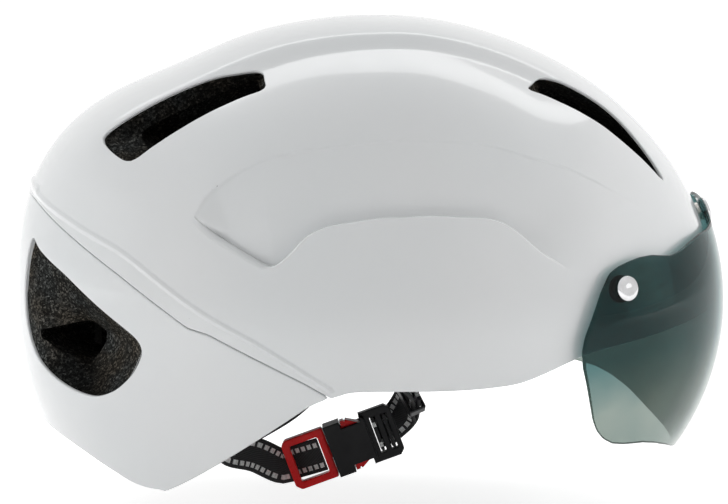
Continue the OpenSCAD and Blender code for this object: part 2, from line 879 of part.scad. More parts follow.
module headband_pockets() {
    for (t = pin_turns)
        at_headband(t)
            cylinder(r = pivot_pin + 0.1, h = pin_depth, $fn = 24);
}

// A pad is a closed cushion between a seat surface and a crowned face
module cushion(seat, depth, across, along) {
    n = across + 1;
    m = along + 1;
    function full(u) = pow(max(0, 1 - pow(abs(2 * u - 1), 4)), 0.5);
    function thick(j, k) = depth * (0.35 + 0.65 * full(j / across) * full(k / along));
    points = concat([for (j = [0:across]) for (k = [0:along]) seat(j / across, k / along, 0)],
        [for (j = [0:across]) for (k = [0:along]) seat(j / across, k / along, thick(j, k))]);
    function at(j, k) = j * m + k;
    top = n * m;
    sheet = [for (j = [0:across - 1]) for (k = [0:along - 1]) each [
        [at(j, k), at(j + 1, k + 1), at(j, k + 1)], [at(j, k), at(j + 1, k), at(j + 1, k + 1)]]];
    roof = [for (f = sheet) [top + f[0], top + f[2], top + f[1]]];
    rim = concat([for (k = [0:along - 1]) [at(0, k), at(0, k + 1)]],
        [for (j = [0:across - 1]) [at(j, along), at(j + 1, along)]],
        [for (k = [along:-1:1]) [at(across, k), at(across, k - 1)]],
        [for (j = [across:-1:1]) [at(j, 0), at(j - 1, 0)]]);
    walls = [for (e = rim) each [[e[0], e[1], top + e[1]], [e[0], top + e[1], top + e[0]]]];
    polyhedron(points, concat(sheet, roof, walls), convexity = 4);
}

brow_turn = 50;
brow_low = -12;
brow_high = 5;
brow_depth = 7;
pad_depth = 6;
pad_seat = 1.4;

module brow_pad() {
    seat = headband_inset + headband_wall + pad_gap + 1.4;
    color([0.2, 0.2, 0.21])
        cushion(function(u, v, t) head_point(brow_turn * (2 * u - 1),
            brow_low + (brow_high - brow_low) * v, seat + t), brow_depth, 16, 5);
}

roof_length = 46;
roof_half = 17;
function roof_point(x, y, inset) = [head_x + x, -y, head_wall_top + (head_dome - inset)
    * sqrt(1 - pow(x / (head_half_length - inset), 2) - pow(y / (head_half_width - inset), 2))];

module crown_pad() {
    color([0.2, 0.2, 0.21])
        cushion(function(u, v, t) roof_point(roof_length * (2 * u - 1), roof_half * (2 * v - 1),
            pad_seat + t), pad_depth, 10, 6);
}

side_turn = 22;
module side_pads() {
    color([0.2, 0.2, 0.21])
        for (side = [-1, 1])
            cushion(function(u, v, t) head_point(90 * side + side_turn * (2 * u - 1), 16 + 16 * v,
                pad_seat + t), pad_depth, 8, 5);
}

cradle_pad_turn = 18;
module cradle_pad() {
    color([0.2, 0.2, 0.21])
        about_band()
            cushion(function(u, v, t) let (a = 180 + cradle_pad_turn * (1 - 2 * u),
                    r = inner_face - cover_wall - pad_gap - t)
                [r * cos(a), r * sin(a), cover_high * (2 * v - 1)], 5, 8, 4);
}

dot_radius = 5;
dot_wall = 0.5;
module at_head(turn, rise) {
    p = head_point(turn, rise);
    n = [cos(turn) * cos(rise) / head_half_length, -sin(turn) * cos(rise) / head_half_width,
        sin(rise) / head_dome];
    translate(p)
        rotate([0, acos(n[2] / norm(n)), atan2(n[1], n[0])])
            children();
}

module pad_dots() {
    color([0.12, 0.12, 0.13])
        for (spot = [[90, 24], [-90, 24], [0, 90]])
            at_head(spot[0], spot[1])
                translate([0, 0, -0.6 - dot_wall])
                    cylinder(r = dot_radius, h = dot_wall, $fn = 32);
}

// Anchors hold the ends of the side straps on the wall of the head room
anchor_turns = [[59, -15], [131, -29]];
anchor_wide = 9;
anchor_wall = 2;
anchor_high = web_width + 1.5;
anchor_seat = 1;

module at_anchor(t, side) {
    n = [cos(t[0]) / head_half_length, -side * sin(t[0]) / head_half_width];
    p = oval(side * t[0], 0);
    translate([p[0], p[1], head_wall_top + head_dome * t[1] * PI / 180])
        rotate([0, 90, atan2(n[1], n[0])])
            children();
}

module strap_anchors() {
    color([0.15, 0.15, 0.16])
        for (t = anchor_turns)
            for (side = [-1, 1])
                at_anchor(t, side) {
                    translate([-anchor_high / 2, -anchor_wide / 2, -anchor_seat - anchor_wall])
                        cube([anchor_high, anchor_wide, anchor_wall]);
                    for (x = [-5, 5])
                        translate([x, 0, -anchor_seat - 0.5])
                            cylinder(r = 1.6, h = 7, $fn = 24);
                }
}

module anchor_pockets() {
    for (t = anchor_turns)
        for (side = [-1, 1])
            at_anchor(t, side)
                for (x = [-5, 5])
                    translate([x, 0, -anchor_seat - 0.5])
                        cylinder(r = 1.7, h = 7.2, $fn = 16);
}

// Webbing is swept along its middle line; each stop is a point and the way its width runs
function unit(v) = v / norm(v);
module webbing(stops, wide = web_width) {
    n = len(stops);
    function tangent(k) = unit(stops[min(k + 1, n - 1)][0] - stops[max(k - 1, 0)][0]);
    function sideways(k) = let (t = tangent(k), w = stops[k][1]) unit(w - t * (w * t));
    function corner(k, a, b) = stops[k][0] + sideways(k) * a * wide / 2
        + cross(tangent(k), sideways(k)) * b * web_wall / 2;
    points = [for (k = [0:n - 1]) each [corner(k, 1, 1), corner(k, -1, 1), corner(k, -1, -1),
        corner(k, 1, -1)]];
    walls = [for (k = [0:n - 2]) for (j = [0:3]) let (a = 4 * k + j, b = 4 * k + (j + 1) % 4)
        each [[a, b + 4, b], [a, a + 4, b + 4]]];
    last = 4 * n - 4;
    ends = [[1, 2, 3], [0, 1, 3], [last + 2, last + 1, last], [last + 3, last + 2, last]];
    polyhedron(points, concat(walls, ends), convexity = 6);
}

// Soft bends between the chosen stops
function bend(stops, k, t) = let (n = len(stops), a = stops[max(k - 1, 0)], b = stops[k],
        c = stops[min(k + 1, n - 1)], d = stops[min(k + 2, n - 1)])
    [for (j = [0, 1]) 0.5 * (2 * b[j] + (c[j] - a[j]) * t + (2 * a[j] - 5 * b[j] + 4 * c[j] - d[j]) * t * t
        + (3 * b[j] - a[j] - 3 * c[j] + d[j]) * t * t * t)];
function soft(stops, steps = 3) = concat([for (k = [0:len(stops) - 2]) for (s = [0:steps - 1])
    bend(stops, k, s / steps)], [stops[len(stops) - 1]]);
function mirrored(stops) = [for (s = stops) [[s[0][0], -s[0][1], s[0][2]],
    [s[1][0], -s[1][1], s[1][2]]]];

upright = [0, 0, 1];
function at_wall(turn, inset, height) = concat(oval(turn, inset), height);
divider_spot = at_wall(91.40, 21.28, 3.5);
divider_place = [divider_spot[0], -divider_spot[1], divider_spot[2]];
divider_wall = 1.3;
divider_gap = 3.1;
divider_half = 13;
divider_high = web_width / 2 + 2;
front_route = [[at_wall(55.39, 3.51, 4), upright], [at_wall(59.88, 5.35, 3.6), upright],
    [at_wall(66.67, 9.58, 3), upright], [at_wall(74.73, 15.66, 3.2), upright],
    [at_wall(82.36, 20.25, 3.5), upright], [at_wall(89.58, 21.30, 3.5), upright]];
rear_route = [[at_wall(134.66, 4.12, -16.2), upright], [at_wall(128.60, 3.95, -16), upright],
    [at_wall(122.67, 4.43, -14.8), upright], [at_wall(115.77, 8.71, -11), upright],
    [at_wall(107.72, 14.29, -4), upright], [at_wall(100.38, 19.78, 2.8), upright],
    [at_wall(93.22, 21.20, 3.5), upright]];

module strap_divider(side) {
    color([0.12, 0.12, 0.13])
        translate([divider_place[0], side * divider_place[1], divider_place[2]])
            difference() {
                union() {
                    for (y = [-1, 1])
                        translate([0, y * (divider_gap + divider_wall) / 2, 0])
                            flat_plate(divider_wall)
                                polygon([[4 - divider_half, -divider_high], [divider_half - 4, -divider_high],
                                    [divider_half, 4 - divider_high], [divider_half, divider_high - 2],
                                    [divider_half - 2, divider_high], [2 - divider_half, divider_high],
                                    [-divider_half, divider_high - 2], [-divider_half, 4 - divider_high]]);
                    for (z = [-divider_high, divider_high - divider_wall])
                        translate([4 - divider_half, -divider_gap / 2 - 0.1, z])
                            cube([2 * divider_half - 8, divider_gap + 0.2, divider_wall]);
                }
                translate([-1.6, side > 0 ? -5 : 0, -web_width / 2 - 0.5])
                    cube([3.2, 5, web_width + 1]);
            }
}

module divider_left() {
    strap_divider(1);
}

module divider_right() {
    strap_divider(-1);
}

module side_strap(route, side) {
    color([0.1, 0.1, 0.1])
        webbing(soft(side > 0 ? route : mirrored(route)));
}

module front_strap_right() {
    side_strap(front_route, 1);
}

module front_strap_left() {
    side_strap(front_route, -1);
}

module rear_strap_right() {
    side_strap(rear_route, 1);
}

module rear_strap_left() {
    side_strap(rear_route, -1);
}

// The buckle hangs below the rim in the middle, its length rising towards the front
buckle_place = [-14.3, 0, -51];
buckle_lift = 20;
frame_bar = 3.2;
frame_side = 3.1;
frame_depth = 3.8;
prong_low = 6;
prong_high = 9;
hook_high = 11.2;
hook_start = 8;
hook_end = 16;
prong_depth = 4.4;
snap_gap = 0.4;
ladder_depth = 3.4;
slot_wide = 2.6;
slot_out = socket_length - slot_wide - 2.2;
slot_in = slot_out - slot_wide - 2.4;

module in_buckle() {
    translate(buckle_place)
        rotate([0, -buckle_lift, 0])
            children();
}

function in_buckle_point(p) = buckle_place + [p[0] * cos(buckle_lift) - p[2] * sin(buckle_lift), p[1],
    p[0] * sin(buckle_lift) + p[2] * cos(buckle_lift)];
across = [-sin(buckle_lift), 0, cos(buckle_lift)];

module flat_plate(depth) {
    rotate([90, 0, 0])
        linear_extrude(depth, center = true)
            children();
}

module buckle_male() {
    half = buckle_width / 2 - 0.2;
    color("red")
        in_buckle() {
            flat_plate(frame_depth)
                difference() {
                    polygon([[-frame_length, 2 - half], [2 - frame_length, -half], [0, -half], [0, half],
                        [2 - frame_length, half], [-frame_length, half - 2]]);
                    translate([frame_bar - frame_length, frame_side - half])
                        square([frame_length - 2 * frame_bar, 2 * (half - frame_side)]);
                }
            translate([-0.5, -frame_depth / 4, -2])
                cube([hook_end - 3, frame_depth / 2, 4]);
        }
}

module prong(side) {
    root = (prong_high - prong_low) / 2;
    color("red")
        in_buckle()
            mirror([0, 0, side > 0 ? 0 : 1])
                difference() {
                    union() {
                        flat_plate(prong_depth)
                            polygon([[root + 0.2, prong_low], [hook_end, prong_low], [hook_end, prong_high - 1],
                                [hook_start + 2.5, hook_high], [hook_start, hook_high],
                                [hook_start, prong_high], [root + 0.2, prong_high]]);
                        translate([root + 0.2, 0, (prong_low + prong_high) / 2])
                            rotate([90, 0, 0])
                                cylinder(r = root, h = prong_depth, center = true, $fn = 32);
                    }
                    for (x = [hook_start + 1.5, hook_start + 4])
                        translate([x, -prong_depth, hook_high - 0.6])
                            rotate([0, 16, 0])
                                cube([0.8, 2 * prong_depth, 2]);
                }
}

module prong_upper() {
    prong(1);
}

module prong_lower() {
    prong(-1);
}

module buckle_female() {
    half = buckle_width / 2;
    mouth = prong_high + snap_gap;
    color([0.1, 0.1, 0.11])
        in_buckle()
            difference() {
                union() {
                    flat_plate(buckle_depth)
                        polygon([[snap_gap, -half], [slot_in - 4, -half], [slot_in - 2, 2 - half],
                            [slot_in - 2, half - 2], [slot_in - 4, half], [snap_gap, half]]);
                    flat_plate(ladder_depth)
                        polygon([[slot_in - 4, -half], [socket_length - 2, -half], [socket_length, 2 - half],
                            [socket_length, half - 2], [socket_length - 2, half], [slot_in - 4, half]]);
                }
                translate([-1, -prong_depth / 2 - snap_gap, -mouth])
                    cube([hook_end + 2.5, prong_depth + 2 * snap_gap, 2 * mouth]);
                for (side = [-1, 1])
                    translate([hook_start - snap_gap, -buckle_depth, side > 0 ? mouth - 1 : -half - 1])
                        cube([hook_end - hook_start + 2 * snap_gap, 2 * buckle_depth, half - mouth + 2]);
                for (x = [slot_in, slot_out])
                    translate([x, -buckle_depth, -web_width / 2 - 0.6])
                        cube([slot_wide, 2 * buckle_depth, web_width + 1.2]);
            }
}

// The left chin strap folds back behind the rear shell and runs into the red frame
left_route = [[divider_place - [0, 0.3, 0], upright], [divider_place - [0.2, 4.2, 0.5], upright],
    [[0, divider_place[1] - 11.7, 0], upright],
    [[-6, 36, -8], upright], [[-16, 20, -20], upright], [[-30, 10, -31], upright],
    [[-46, 6, -40], upright], [[-56, 4.6, -45], upright], [[-59.5, 2.6, -48], upright],
    [[-56, 0.8, -50.5], upright], [[-46, 2, -53], across],
    [in_buckle_point([-frame_length - 3, 3.4, 0]), across],
    [in_buckle_point([frame_bar - frame_length - 1, 3.5, 0]), across],
    [in_buckle_point([-frame_length / 2 + 0.5, 1.4, 0]), across],
    [in_buckle_point([-frame_bar - 0.6, 0.2, 0]), across]];
right_route = [[divider_spot + [0, 0.3, 0], upright], [divider_spot + [0.2, 4.2, -0.5], upright],
    [[8, divider_spot[1] + 14.7, -1.5], upright],
    [[14, -32, -9], upright], [[17.5, -14, -20], across], [[17.5, 0, -30], across],
    [[15.6, 5, -37], across], [in_buckle_point([slot_out + slot_wide / 2, 3.6, 0]), across],
    [in_buckle_point([slot_out + slot_wide / 2, -1.6, 0]), across]];
tail_gap = 2.4;
function beside(k, out) = let (along = unit(right_route[k + 1][0] - right_route[k - 1][0]),
        wide = unit(across - along * (across * along)))
    right_route[k][0] + out * cross(along, wide);
tail_route = [[in_buckle_point([slot_in + slot_wide / 2, -1.6, 0]), across],
    [in_buckle_point([slot_in + slot_wide / 2, 4, 0]), across],
    [in_buckle_point([slot_out + slot_wide / 2, 6.6, 0]), across], [beside(6, tail_gap), across],
    [beside(5, tail_gap), across], [beside(4, tail_gap), across]];

module chin_strap_left() {
    color([0.1, 0.1, 0.1])
        webbing(soft(left_route));
}

module chin_strap_right() {
    color([0.1, 0.1, 0.1]) {
        webbing(soft(right_route));
        webbing(soft(tail_route));
    }
}

// The keeper holds the loose end of the right chin strap against the strap
keeper_length = 5;
keeper_wall = 1.2;
keeper_gap = 0.6;

module strap_keeper() {
    a = right_route[4][0];
    b = right_route[5][0];
    t = unit(b - a);
    w = unit(across - t * (across * t));
    n = cross(t, w);
    p = (a + b) / 2 + n * tail_gap / 2;
    high = web_width + 2 * keeper_gap;
    thick = tail_gap + web_wall + 2 * keeper_gap;
    color([0.12, 0.12, 0.13])
        multmatrix([[t[0], w[0], n[0], p[0]], [t[1], w[1], n[1], p[1]], [t[2], w[2], n[2], p[2]],
            [0, 0, 0, 1]])
            difference() {
                cube([keeper_length, high + 2 * keeper_wall, thick + 2 * keeper_wall], center = true);
                cube([2 * keeper_length, high, thick], center = true);
            }
}

upper_shell();
rear_shell();
foam_brow();
foam_front_left();
foam_front_right();
foam_side_left();
foam_side_right();
foam_rear_left();
foam_rear_right();
foam_nape();
foam_crown_front();
foam_crown_rear();
visor_lens();
visor_studs();
visor_magnets();
shell_magnets();
magnet_cups();
temple_pivots();
temple_sleeves();
band_left();
band_right();
dial_housing();
cradle_back();
dial_knob();
dial_pinion();
dial_screw();
click_spring();
height_strip();
height_guide();
front_headband();
headband_pins();
brow_pad();
crown_pad();
side_pads();
cradle_pad();
pad_dots();
strap_anchors();
front_strap_left();
rear_strap_left();
front_strap_right();
rear_strap_right();
divider_left();
divider_right();
chin_strap_left();
chin_strap_right();
buckle_male();
prong_upper();
prong_lower();
buckle_female();
strap_keeper();
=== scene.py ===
import json, math
import bpy
import numpy as np
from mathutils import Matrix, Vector


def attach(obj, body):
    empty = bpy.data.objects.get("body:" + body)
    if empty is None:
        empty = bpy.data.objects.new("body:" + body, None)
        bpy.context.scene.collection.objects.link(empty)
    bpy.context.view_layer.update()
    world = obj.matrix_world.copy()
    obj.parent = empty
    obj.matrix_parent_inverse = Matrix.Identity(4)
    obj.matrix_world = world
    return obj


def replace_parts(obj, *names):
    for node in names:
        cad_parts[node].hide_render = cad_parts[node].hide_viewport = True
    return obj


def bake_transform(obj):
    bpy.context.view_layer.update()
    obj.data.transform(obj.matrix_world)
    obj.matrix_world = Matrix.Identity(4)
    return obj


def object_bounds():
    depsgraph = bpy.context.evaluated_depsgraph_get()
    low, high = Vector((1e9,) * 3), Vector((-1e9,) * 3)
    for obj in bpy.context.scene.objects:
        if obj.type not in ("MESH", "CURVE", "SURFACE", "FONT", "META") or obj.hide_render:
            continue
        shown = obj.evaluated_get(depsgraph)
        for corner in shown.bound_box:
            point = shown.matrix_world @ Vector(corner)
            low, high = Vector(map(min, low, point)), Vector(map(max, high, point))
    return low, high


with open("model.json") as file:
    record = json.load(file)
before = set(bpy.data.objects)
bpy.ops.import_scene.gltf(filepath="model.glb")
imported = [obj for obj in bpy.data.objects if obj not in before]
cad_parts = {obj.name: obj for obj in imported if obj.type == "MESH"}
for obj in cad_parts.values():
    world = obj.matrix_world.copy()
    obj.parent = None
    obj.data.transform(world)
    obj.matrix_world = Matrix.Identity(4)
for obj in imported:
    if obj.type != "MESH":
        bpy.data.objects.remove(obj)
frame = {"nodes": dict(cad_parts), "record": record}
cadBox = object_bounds()
mm = 0.001
scene = bpy.context.scene


# camera, in degrees and millimetres
camera = {"target": (0, 0, 35), "turn": 2, "rise": 10, "distance": 1000, "lens": 117.7}


def newObject(name, data):
    obj = bpy.data.objects.new(name, data)
    scene.collection.objects.link(obj)
    return obj


def makeCamera(c):
    turn, rise = math.radians(c["turn"]), math.radians(c["rise"])
    away = Vector((-math.sin(turn) * math.cos(rise), -math.cos(turn) * math.cos(rise), math.sin(rise)))
    data = bpy.data.cameras.new("camera")
    data.lens = c["lens"]
    data.sensor_width = 36
    data.clip_start = 0.01
    obj = newObject("camera", data)
    target = Vector(c["target"])
    obj.location = (target + away * c["distance"]) * mm
    obj.rotation_euler = (-away).to_track_quat("-Z", "Y").to_euler()
    scene.camera = obj


makeCamera(camera)


# the skin, measured in millimetres from a point inside the head
skinCentre = np.array([10.0, 0.0, 20.0])
middleRadii = [189, 155, 139, 137, 134, 127, 121, 116, 114, 114, 116, 122, 128, 150, 157, 156, 157, 154, 148]
firstAngle, angleStep = -45, 15
halfWidth, crownRadius, sidePower, lowest = 108.0, 114.0, 2.15, 0.6
spineShape = {"rise": 3.0, "edge": 16, "foot": 22, "fade": 22, "front": (40, 16), "back": (156, 14)}


def ease(u):
    v = np.clip(u, 0, 1)
    return v * v * (3 - 2 * v)


def smoothList(values, u):
    n = len(values)
    pad = np.array([2 * values[0] - values[1], *values, 2 * values[-1] - values[-2]], float)
    v = np.clip(u, 0, n - 1.0001)
    k = np.floor(v).astype(int)
    t = v - k
    a, b, c, d = pad[k], pad[k + 1], pad[k + 2], pad[k + 3]
    return ((1 - t) ** 3 * a + (3 * t ** 3 - 6 * t * t + 4) * b
            + (1 + 3 * t + 3 * t * t - 3 * t ** 3) * c + t ** 3 * d) / 6


def middleRadius(angle):
    return smoothList(middleRadii, (angle - firstAngle) / angleStep)


def sideRadius(rise):
    r = np.radians(np.abs(rise))
    upper = ((np.cos(r) / halfWidth) ** sidePower + (np.sin(r) / crownRadius) ** sidePower) ** (-1 / sidePower)
    return np.where(rise < 0, halfWidth / np.maximum(np.cos(r), lowest), upper)


def baseRadius(d):
    rise = np.degrees(np.arcsin(np.clip(d[:, 2], -1, 1)))
    flat = np.hypot(d[:, 0], d[:, 1]) + 1e-5
    c = d[:, 0] / flat
    w = ease(c + 0.5)
    front, tail, side = middleRadius(rise), middleRadius(180 - rise), sideRadius(rise)
    return (c * c * ((1 - w) / tail ** 2 + w / front ** 2) + (1 - c * c) / side ** 2) ** -0.5


def way(along, aside):
    a, b = np.radians(along), np.radians(aside)
    return np.stack([np.cos(b) * np.cos(a), -np.sin(b), np.cos(b) * np.sin(a)], -1)


def angles(d):
    along = np.degrees(np.arctan2(d[:, 2], d[:, 0]))
    return np.where(along < -90, along + 360, along), np.degrees(np.arcsin(np.clip(-d[:, 1], -1, 1)))


def unit(v):
    return v / np.maximum(np.linalg.norm(v, axis=-1, keepdims=True), 1e-12)


def curve(points, step=8, closed=False):
    p = np.array(points, float)
    n = len(p)
    out = []
    for k in range(n if closed else n - 1):
        q = [p[(k + j) % n] if closed else p[min(max(k + j, 0), n - 1)] for j in (-1, 0, 1, 2)]
        for t in np.arange(step) / step:
            out.append(0.5 * (2 * q[1] + (q[2] - q[0]) * t + (2 * q[0] - 5 * q[1] + 4 * q[2] - q[3]) * t * t
                              + (3 * q[1] - q[0] - 3 * q[2] + q[3]) * t ** 3))
    if not closed:
        out.append(p[-1])
    return np.array(out)


# a chart lays the skin round one direction flat, in millimetres, on the wearer's right side
class Chart:
    def __init__(self, along, aside, size=125):
        self.c = way(along, aside)
        self.u = unit(np.cross([0, 1.0, 0], self.c))
        self.v = np.cross(self.c, self.u)
        self.size = size

    def flat(self, d):
        p = [d[:, 0], -np.abs(d[:, 1]), d[:, 2]]
        out, x, y = [sum(a * b for a, b in zip(p, v)) for v in (self.c, self.u, self.v)]
        g = np.arccos(np.clip(out, -1, 1))
        s = self.size * g / np.maximum(np.hypot(x, y), 1e-9)
        return np.stack([x * s, y * s], -1)


# sums are written out, because a matrix product can differ in its last digit from run to run
def lineDistance(p, line, closed):
    x, y = np.ascontiguousarray(p.T)
    a = line if closed else line[:-1]
    b = np.roll(line, -1, 0) if closed else line[1:]
    best, inside = np.full(len(p), 1e9), np.zeros(len(p), bool)
    for (sx, sy), (ex, ey) in zip(a, b):
        wx, wy, dx, dy = ex - sx, ey - sy, x - sx, y - sy
        t = np.clip((dx * wx + dy * wy) / (wx * wx + wy * wy + 1e-12), 0, 1)
        best = np.minimum(best, np.sqrt((dx - t * wx) ** 2 + (dy - t * wy) ** 2))
        if closed:
            inside ^= ((sy > y) != (ey > y)) & (x < sx + wx * dy / (wy if abs(wy) > 1e-9 else 1e-9))
    return best, inside


# side panel, ridge and vents, in angles along and aside
panel = {
    "chart": (90, 58), "depth": 6, "lip": 2.2, "step": 0.5, "stepWidth": 1.2, "clear": 1.5, "creaseReach": 4,
    "tipFade": 14, "tipDepth": 0.12, "frontEnd": 19, "frontFade": 24,
    "crease": [(150.4, 44), (143.9, 43.4), (137.4, 43.9), (129.3, 44.9), (121.6, 46.4), (109.8, 48.6), (100, 49.4),
               (79.4, 48.9), (62.5, 45.8), (52.1, 43.6), (42.7, 39.9), (29.7, 34.1), (18, 26.3)],
    "edge": [(150.4, 44), (151.6, 47.7), (151.9, 53.5), (151.8, 58), (151.2, 59.8), (148.7, 61), (142.3, 61.8),
             (131.5, 61.8), (121.7, 62.7), (111.3, 64.1), (98, 64.7), (85.3, 64.7), (65.2, 62.4), (51.8, 59),
             (44.4, 57.7), (36, 56.9), (29.4, 56), (22, 53.8), (18, 51)],
}
ridge = {"chart": (176, 45), "rise": 0.75, "half": 1.7,
         "line": [(162, -10), (162.3, 5), (164, 28), (165.6, 37), (171.2, 47.5), (180.9, 60.2), (192, 67), (205, 71),
                  (217, 73)]}
vents = {  # outline on the skin, and inner ring where the foam's walls end
    "front": {"chart": (43, 20), "deep": 8, "lean": -3, "under": (10, -2.5, -8),
              "outline": [(58.7, 24.5), (58.1, 21), (57.2, 19), (54.1, 17.4), (50.5, 16.3), (46.4, 15.4), (42.5, 15),
                          (38.3, 15.3), (33.2, 16.4), (24.9, 18.4), (31.6, 20.7), (37.5, 22.1), (43.7, 23),
                          (49.6, 23.2), (54.8, 23.6)],
              "inner": [(55.4, 17.5), (55.5, 15.8), (55.2, 13.2), (52.6, 12), (49.2, 10.6), (45.7, 9.8), (42.1, 9.6),
                        (38.3, 10), (35.5, 11), (32.3, 14), (34.5, 19), (38.4, 20.6), (43.3, 21.6), (48.3, 22.2),
                        (52.3, 22.2)]},
    "top": {"chart": (135, 23), "deep": 8, "lean": -8, "under": (10, -3, -17),
            "outline": [(149.4, 19), (148.6, 17.7), (146.8, 17.5), (142.7, 17.6), (137.9, 17.6), (132.6, 17.7),
                        (127.8, 18.3), (123.1, 19.7), (118.9, 21.4), (118.8, 24.6), (119.8, 27.8), (124.9, 27.6),
                        (131.6, 27.4), (138.3, 27.4), (144.3, 27), (148, 26.8), (149.4, 25.4), (149.7, 21.8)],
            "inner": [(145.2, 19), (144.8, 18.5), (144, 18), (140.9, 18), (137, 18.1), (132.9, 18.1), (128.7, 18.2),
                      (124.4, 18.5), (120.7, 18.7), (120.9, 20.9), (121.6, 24.6), (126, 26.2), (132.1, 27),
                      (138.2, 27.6), (143, 27.8), (145.6, 25.6), (146, 22.6), (145.6, 20.2)]},
    "side": {"chart": (183, 28), "plane": 43, "push": [(5, 14, 0), (16, 27, -1)],
             "outline": [(169.2, 13.2), (170.3, 15.8), (171.3, 19.1), (172.8, 23.9), (175.3, 28.8), (178.2, 33.5),
                         (180.6, 36.9), (182.4, 38.8), (184.3, 39.7), (186.6, 39.5), (190.1, 37.5), (192.9, 34.2),
                         (194.1, 31), (194.2, 28.2), (193, 24.2), (191, 19.8), (189.1, 16.6), (187, 14.5),
                         (183.9, 12.9), (179.4, 12.1), (174.2, 12.2), (171.3, 12.5)],
             "inner": [(183.3, 17), (183.1, 17.4), (182.8, 17.9), (182.5, 18.5), (182.2, 19.3), (182.7, 19.8),
                       (183.5, 20.1), (184.5, 20.4), (185.5, 20.4), (186.6, 20.3), (187.9, 20), (188.9, 19.7),
                       (189.5, 19.4), (189.7, 19.1), (188.9, 18.5), (187.7, 17.9), (186.4, 17.4), (185.3, 17.1),
                       (184.5, 16.8), (183.9, 16.8), (183.6, 16.8), (183.4, 16.8)]},
}
ventReach = {"near": 90, "outside": 60.0}


def laid(piece, key, closed, step=6):
    piece["map"] = Chart(*piece["chart"])
    pts = curve(piece[key], step, closed)
    return piece["map"].flat(way(pts[:, 0], pts[:, 1]))


panel["top"], panel["low"] = laid(panel, "crease", False), laid(panel, "edge", False)
ridge["way"] = laid(ridge, "line", False)
for vent in vents.values():
    vent["ring"] = laid(vent, "outline", True)
    vent["angles"] = curve(vent["outline"], 6, True)


def ventField(vent):
    def field(d):
        p = vent["map"].flat(d)
        out = np.full(len(d), ventReach["outside"])
        near = np.linalg.norm(p, axis=1) < ventReach["near"]
        if near.any():
            dist, inside = lineDistance(p[near], vent["ring"], True)
            out[near] = np.where(inside, -dist, dist)
        return out
    return field


def panelFields(d):
    p = panel["map"].flat(d)
    outline = np.vstack([panel["top"], panel["low"][::-1]])
    top, low = [lineDistance(p, panel[key], False)[0] for key in ("top", "low")]
    return top, low, lineDistance(p, outline, True)[1]


def lipField(d):
    top, low, within = panelFields(d)
    return np.where(within, -low, low)


def creaseField(d):
    top, low, within = panelFields(d)
    signed = np.where(within, top, -top)
    reach = panel["creaseReach"]
    return np.where((low > panel["lip"]) | (top > reach), signed, np.sign(signed) * reach)


def panelInset(d):
    top, low, within = panelFields(d)
    tip = np.linalg.norm(panel["map"].flat(d) - panel["low"][0], axis=1)
    depth = panel["depth"] * ease(tip / panel["tipFade"] + panel["tipDepth"])
    depth = depth * ease((angles(d)[0] - panel["frontEnd"]) / panel["frontFade"])
    step = panel["step"] * depth / panel["depth"] * ease(top / panel["stepWidth"])
    inner = step + (depth - step) * top / np.maximum(top + low, 1e-6)
    rounded = 1 - np.sqrt(1 - np.clip(1 - low / panel["lip"], 0, 1) ** 2)
    return np.where(within, inner, depth * rounded * (top > panel["clear"]))


def ridgeField(d):
    p, line, far, onward = ridge["map"].flat(d), ridge["way"], 400, 30
    head, foot = line[0] + (line[0] - line[1]) * onward, line[-1] + (line[-1] - line[-2]) * onward
    outline = np.vstack([line, foot, [far, -far], [-far, -far], head])
    dist, inside = lineDistance(p, line, False)[0], lineDistance(p, outline, True)[1]
    return np.where(inside, dist, -dist)


def spineInset(d):
    s = spineShape
    along, aside = angles(d)
    a = np.abs(aside)
    return (s["rise"] * ease((along - s["front"][0]) / s["front"][1]) * ease((s["back"][0] - along) / s["back"][1])
            * ease((a - s["edge"]) / (s["foot"] - s["edge"])) * (1 - ease((a - s["foot"]) / s["fade"])))


def skin(d, inset=0.0, detail=True):
    r = baseRadius(d) - spineInset(d) - inset
    if detail:
        r = r - panelInset(d) + ridge["rise"] * (1 - ease(np.abs(ridgeField(d)) / ridge["half"]))
    return skinCentre + d * r[:, None]


def plainSkin(d):
    return skin(d, 0.0, False)


# lines of the side view: rim and the joint between the shells
rimLine = curve([[170, 20], [141, 17], [92, 12], [80, 9.5], [63, 3.5], [52, 1], [30, 0], [-4, 0], [-14, -2], [-24, -6],
                 [-34, -13], [-76, -43], [-84, -46], [-94, -45.5], [-105, -41], [-128, -32], [-170, -24]], 4)
seamLine = np.array([[-190, 80], [-134, 62], [-98, 40], [-71, 22], [-63, 20], [-27, 3], [-17, -2.5], [0, -16],
                     [0, -80]], float)


def sideDistance(p, line, corner):
    q = p[:, [0, 2]]
    outline = np.vstack([line, corner])
    dist = lineDistance(q, line, False)[0]
    inside = lineDistance(q, outline, True)[1]
    return np.where(inside, dist, -dist)


def rimField(d):
    return sideDistance(plainSkin(d), rimLine, [[-170, 300], [170, 300]])


def seamField(d):
    return sideDistance(plainSkin(d), seamLine, [[300, -80], [300, 300], [-190, 300]])


